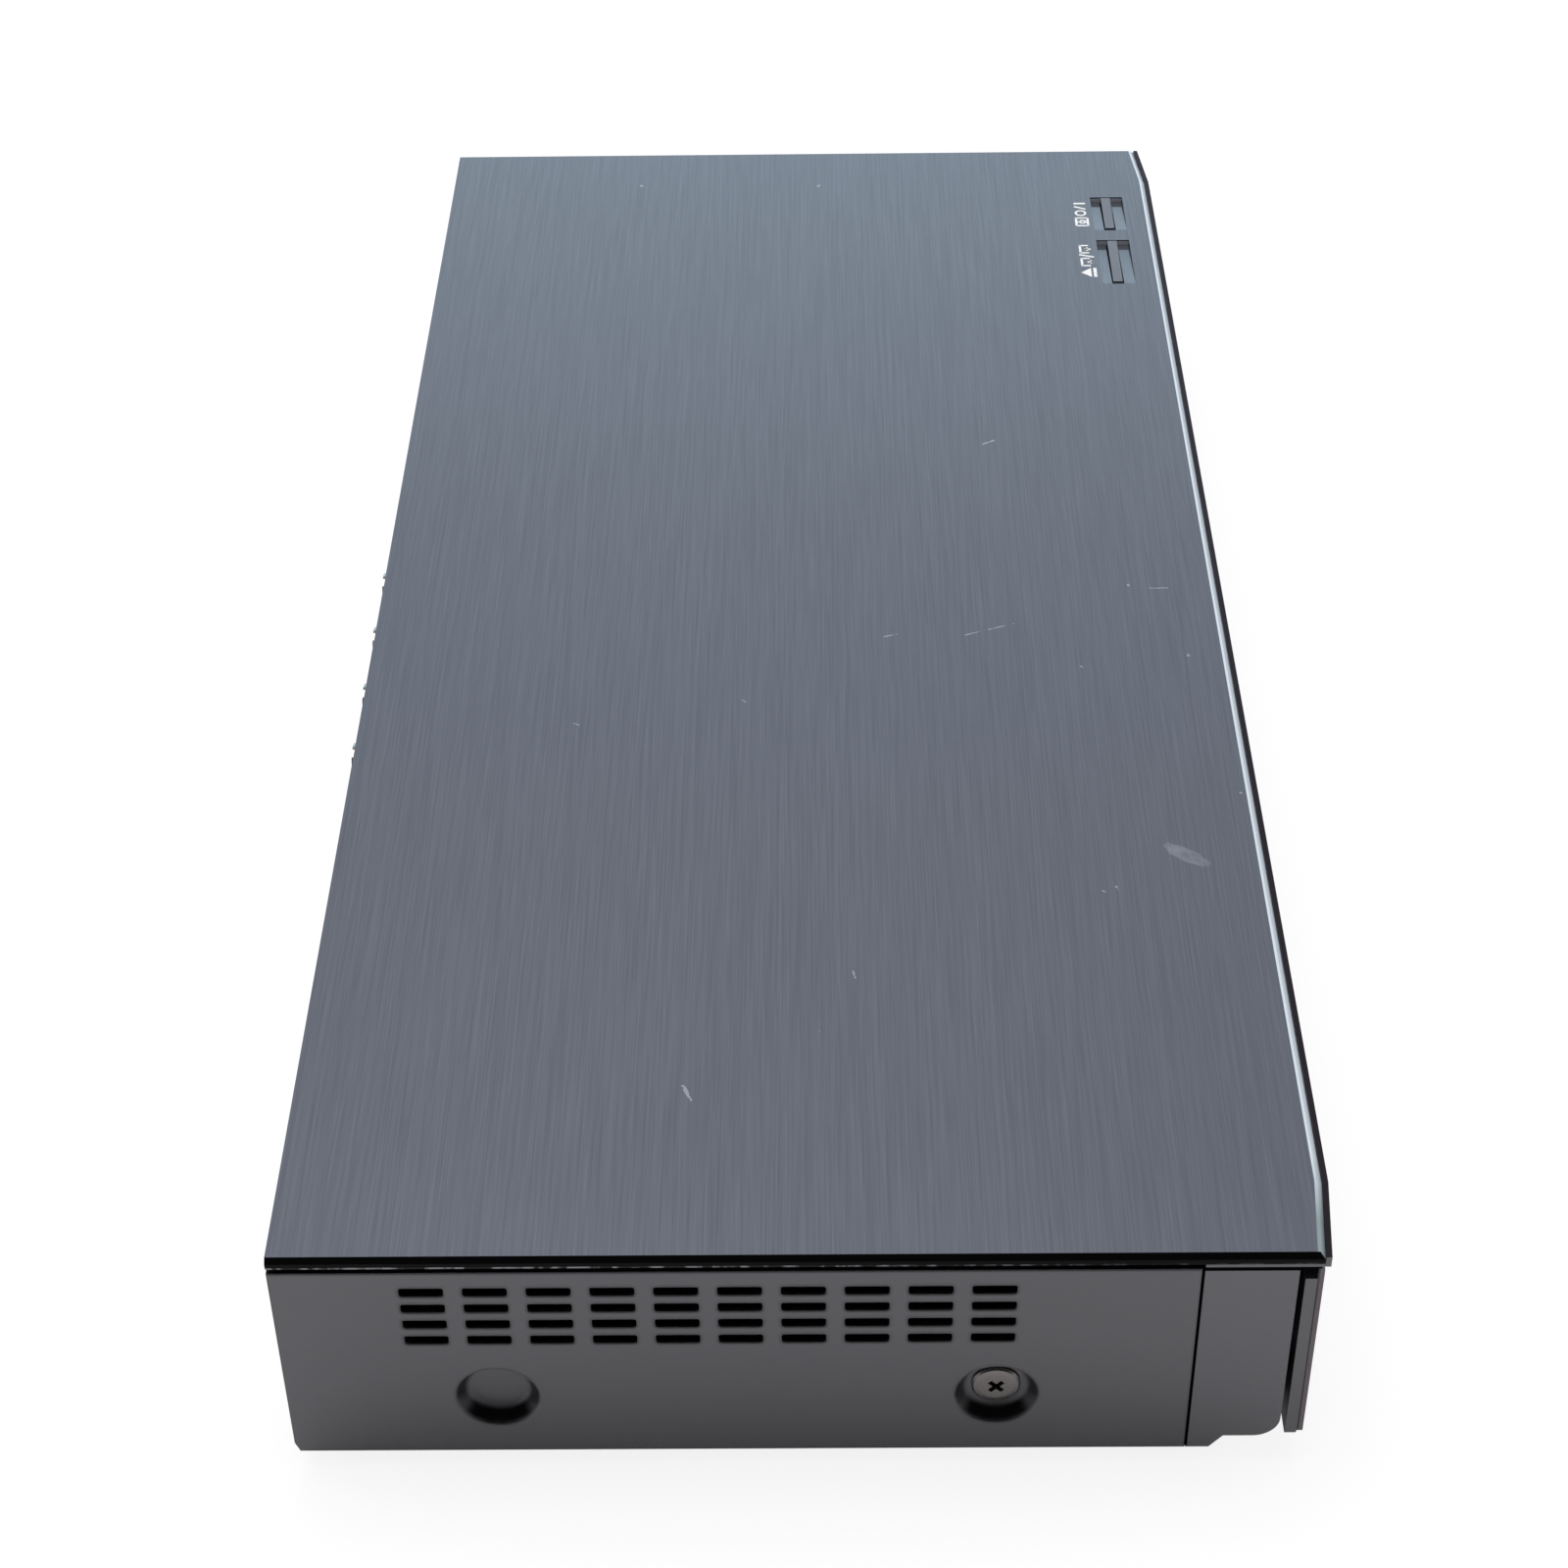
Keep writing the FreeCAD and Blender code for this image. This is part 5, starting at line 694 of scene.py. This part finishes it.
def islands(name):
    """Lowest and highest corner of each separate solid in a node."""
    mesh = bmesh.new()
    mesh.from_mesh(nodes[name].data)
    bmesh.ops.remove_doubles(mesh, verts=mesh.verts, dist=1e-6)
    left, found = set(mesh.verts), []
    while left:
        queue, members = [left.pop()], []
        while queue:
            vert = queue.pop()
            members.append(vert.co.copy())
            for edge in vert.link_edges:
                other = edge.other_vert(vert)
                if other in left:
                    left.remove(other)
                    queue.append(other)
        found.append([Vector([pick(v[k] for v in members) for k in range(3)]) for pick in (min, max)])
    mesh.free()
    return sorted(found, key=lambda pair: tuple(pair[0]))


PANEL_HEAD = {"radius": 0.003, "thick": 0.0016, "shank": 0.0006, "reach": 0.0016, "half": 0.0004,
              "deep": 0.0012}
for name, axis, slot, material in (("rear_screws", 1, "black_screw", screw_black),
                                   ("chassis_screws", 2, "bright_steel", steel)):
    heads = []
    for low, high in islands(name):
        seat = (low + high) / 2
        seat[axis] = low[axis]
        heads.append((seat, [int(k == axis) for k in range(3)]))
    item = piece(name + "_heads", screw_mesh(name + "_heads", heads, **PANEL_HEAD), "root", slot, material)
    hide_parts(name)

# Rear sockets: aerial barrels of nickel-plated brass, sheet-metal sockets, coloured audio jacks.
# They stand on the main board and look out through the rear panel.
nickel = rolled("nickel_plate", "#a9a59c", "#c9c5bb", 0.2, (900.0, 200.0, 900.0))
dress(nickel, "aerial_connectors")
row, given = geometry_tree("row_of_pieces", {
    "Unit": "Object", "Finish": "Material", "Count": "Int", "Pitch": "Float", "First": "Vector"})
step = add(row, "ShaderNodeCombineXYZ", {0: given["Pitch"]}).outputs[0]
line = add(row, "GeometryNodeMeshLine", {
    "Count": given["Count"], "Start Location": given["First"], "Offset": step})
end_tree(row, line.outputs[0], given)
barrels = islands("aerial_connectors")
middles = [(low + high) / 2 for low, high in barrels]
BARREL, THREAD, RIDGE, NUT = 0.00475, 0.00022, 0.0008, 0.0021
tip, seat = barrels[0][1].y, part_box("rear_panel")[1].y + NUT
mesh = bmesh.new()
ridges = []
for k in range(int((tip - seat - 0.0006) / RIDGE)):
    start = seat + 0.0003 + k * RIDGE
    ridges += [(BARREL - 0.0001, start), (BARREL + THREAD, start + RIDGE * 0.4),
               (BARREL + THREAD, start + RIDGE * 0.55), (BARREL - 0.0001, start + RIDGE * 0.95)]
turned_head(mesh, (0, 0, 0), (0, 1, 0), ridges)
unit = stand("thread_unit", closed("thread_unit", mesh))
threads = grow("connector_threads", row, {
    "Unit": unit, "Finish": nickel, "Count": len(barrels), "Pitch": middles[1].x - middles[0].x,
    "First": (middles[0].x, 0.0, middles[0].z)})
bpy.data.objects.remove(unit)
piece("connector_threads", threads, "root", "nickel")
jacks, tree, shader = finish("jack_plastic", Roughness=0.35)
# Yellow, white and red bushes stand proud of the panel; the block behind is black
place = place_on(tree)
low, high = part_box("av_jacks")
third = (high.x - low.x) / 3
colour = blend_of(tree, maths(tree, "LESS_THAN", low.x + third, place[0]), paint("#c79a1c"), paint("#d9d8d2"))
colour = blend_of(tree, maths(tree, "LESS_THAN", low.x + 2 * third, place[0]), colour, paint("#a81f22"))
PROUD_FROM = 0.0947
proud = ramp(tree, place[1], PROUD_FROM, PROUD_FROM + 0.0001)
skin = use(tree, grain, Size=0.0005, Depth=0.0001, Strength=0.2)
black = blend_of(tree, skin["Tone"], paint("#131315"), paint("#1e1e20"))
drive(tree, shader, "Base Color", blend_of(tree, proud, black, colour))
drive(tree, shader, "Normal", skin["Normal"])
dress(jacks, "av_jacks")

# Disc drive: black tub, zinc lid, tray, white acetal gears and the small motors.
# The tray slides on the tub's ledges; the gears turn on pins moulded in its floor.
drive_black = moulded("drive_black", "#1a1a1c", "#232325", 0.5, 0.0005, 0.4)
dress(drive_black, "drive_frame", "disc_tray", "turntable")
acetal = moulded("acetal", "#cfcfc8", "#dcdcd6", 0.45, 0.0006, 0.2)
dress(acetal, "loading_gear", "loading_pulley", "cam_slider", "clamper")
can = rolled("motor_can", "#8f9193", "#b0b2b4", 0.3, (600.0, 600.0, 60.0))
dress(can, "loading_motor", "spindle_motor", "sled_motor")
dress(rolled("brass", "#a98442", "#c9a45c", 0.25, (900.0, 900.0, 200.0)), "motor_pulley")
dress(rolled("ground_rod", "#b5b6b8", "#d5d6d8", 0.12, (900.0, 60.0, 900.0)), "guide_rods", "lead_screw")
cast = rolled("die_cast", "#8c8e90", "#a4a6a8", 0.5, (300.0, 300.0, 300.0))
dress(cast, "pickup_sled", "hard_disk_body", "hard_disk_arm")
lens, tree, shader = finish("lens_glass", Roughness=0.02, IOR=1.6, Transmission_Weight=0.8)
tone = use(tree, grain, Size=0.002, Depth=0.0001, Strength=0.0)
drive(tree, shader, "Base Color", blend_of(tree, tone["Tone"], paint("#8fa6d8"), paint("#b7c9f2")))
dress(lens, "objective_lens")

# Hard disk: cast body, stamped lid, mirror platters; it is screwed on posts of the chassis.
# The heat sink, transformer and flat cable of the boards beside it are here too; only an open cabinet
# shows them.
dress(rolled("stamped_lid", "#a7a9ab", "#bfc1c3", 0.3, (50.0, 700.0, 700.0)), "hard_disk_lid")
dress(rolled("platter", "#c9c9c7", "#e0e0de", 0.06, (100.0, 100.0, 100.0)), "hard_disk_platters")
dress(rolled("extruded", "#aeb0b2", "#c8cacc", 0.4, (700.0, 40.0, 700.0)), "heat_sink")
dress(moulded("ferrite", "#2b2b2d", "#3d3a36", 0.5, 0.0008, 0.5), "transformer")
dress(moulded("flat_cable", "#c6c9ce", "#d8dbe0", 0.5, 0.0010, 0.2), "ribbon_cables")

# The table that it is photographed on: a flat white sheet under soft lamps.
FLOOR_REACH = 6.0
floor_mesh = bmesh.new()
turned_head(floor_mesh, (0, 0, 0), (0, 0, 1), ((0.0, 0.0), (FLOOR_REACH, 0.0)), 64)
made = closed("floor", floor_mesh)
floor = stand("floor", made)
white, tree, shader = finish("white_sheet", Roughness=0.9)
shader.inputs["Base Color"].default_value = (0.86, 0.86, 0.88, 1)
# The camera sees the sheet mostly as plain white, with the object's shadow left on it
SHEET_WHITE, WHITE_SHARE = 1.12, 0.76
rays = add(tree, "ShaderNodeLightPath").outputs
seen = add(tree, "ShaderNodeEmission", {"Color": (1, 1, 1, 1), "Strength": SHEET_WHITE})
share = maths(tree, "MULTIPLY", rays["Is Camera Ray"], WHITE_SHARE)
mix = add(tree, "ShaderNodeMixShader", {0: share, 1: shader.outputs[0], 2: seen.outputs[0]})
tree.links.new(mix.outputs[0], tree.nodes["Material Output"].inputs["Surface"])
made.materials.append(white)

# The room: white to the camera, a low even light, and a pale wall that the gloss mirrors
ROOM_GREY, WALL_BLUE, ROOM_LIGHT = (0.2, 0.2, 0.2, 1), (0.95, 1.22, 1.45, 1), 0.36
world = bpy.data.worlds.new("studio")
bpy.context.scene.world = world
world.use_nodes = True
tree = world.node_tree
back = tree.nodes["Background"]
rays = add(tree, "ShaderNodeLightPath").outputs
way = add(tree, "ShaderNodeSeparateXYZ", {0: add(tree, "ShaderNodeTexCoord").outputs["Generated"]}).outputs
far = maths(tree, "POWER", ramp(tree, way[0], 0.66, 0.90), 2.4)
sky = blend_of(tree, far, ROOM_GREY, WALL_BLUE)
soft = add(tree, "ShaderNodeVectorMath", {0: sky, 3: rays["Is Glossy Ray"]}, operation="SCALE").outputs[0]
seen = maths(tree, "MAXIMUM", rays["Is Camera Ray"], rays["Is Transmission Ray"])
even = maths(tree, "ADD", seen, maths(tree, "MULTIPLY", rays["Is Diffuse Ray"], ROOM_LIGHT))
flat = add(tree, "ShaderNodeCombineXYZ", {0: even, 1: even, 2: even}).outputs[0]
dim = ramp(tree, way[0], -0.3, 0.66, 0.2, 1.0)
soft = add(tree, "ShaderNodeVectorMath", {0: soft, 3: dim}, operation="SCALE").outputs[0]
colour = add(tree, "ShaderNodeVectorMath", {0: soft, 1: flat}, operation="ADD").outputs[0]
tree.links.new(colour, back.inputs["Color"])


def lamp(name, place, aim, wide, tall, watts):
    """A soft lamp, pointed at a place."""
    data = bpy.data.lights.new(name, "AREA")
    data.shape = "RECTANGLE"
    data.size, data.size_y, data.energy = wide, tall, watts
    item = stand(name, data)
    item.location = place
    item.rotation_euler = (Vector(aim) - Vector(place)).to_track_quat("-Z", "Y").to_euler()


lamp("overhead", (0.22, 0.2, 1.7), (0, 0, 0), 1.3, 1.3, 17)
lamp("behind", (0.2, 1.5, 0.7), (0, 0, 0.03), 1.2, 0.7, 4)
lamp("front", (0.3, -1.5, 0.7), (0, 0, 0.03), 1.2, 0.7, 6)

# The camera stands beyond the recorder's left end and looks down along its width.
PITCH, YAW, ROLL = (math.radians(a) for a in (39.107, 0.816, 0.924))
EYE, LENS, SENSOR = (-0.60543, -0.00831, 0.48905), 71.59, 36.0
look = Vector((math.cos(PITCH) * math.cos(YAW), math.cos(PITCH) * math.sin(YAW), -math.sin(PITCH)))
right = Vector((math.sin(YAW), -math.cos(YAW), 0))
down = look.cross(right)
across = right * math.cos(ROLL) + down * math.sin(ROLL)
below = down * math.cos(ROLL) - right * math.sin(ROLL)
data = bpy.data.cameras.new("camera")
data.sensor_width, data.lens, data.clip_start = SENSOR, LENS, 0.01
camera = stand("camera", data)
camera.matrix_world = Matrix.Translation(EYE) @ Matrix((across, -below, -look)).transposed().to_4x4()
bpy.context.scene.camera = camera
bpy.context.scene.view_settings.view_transform = "Standard"
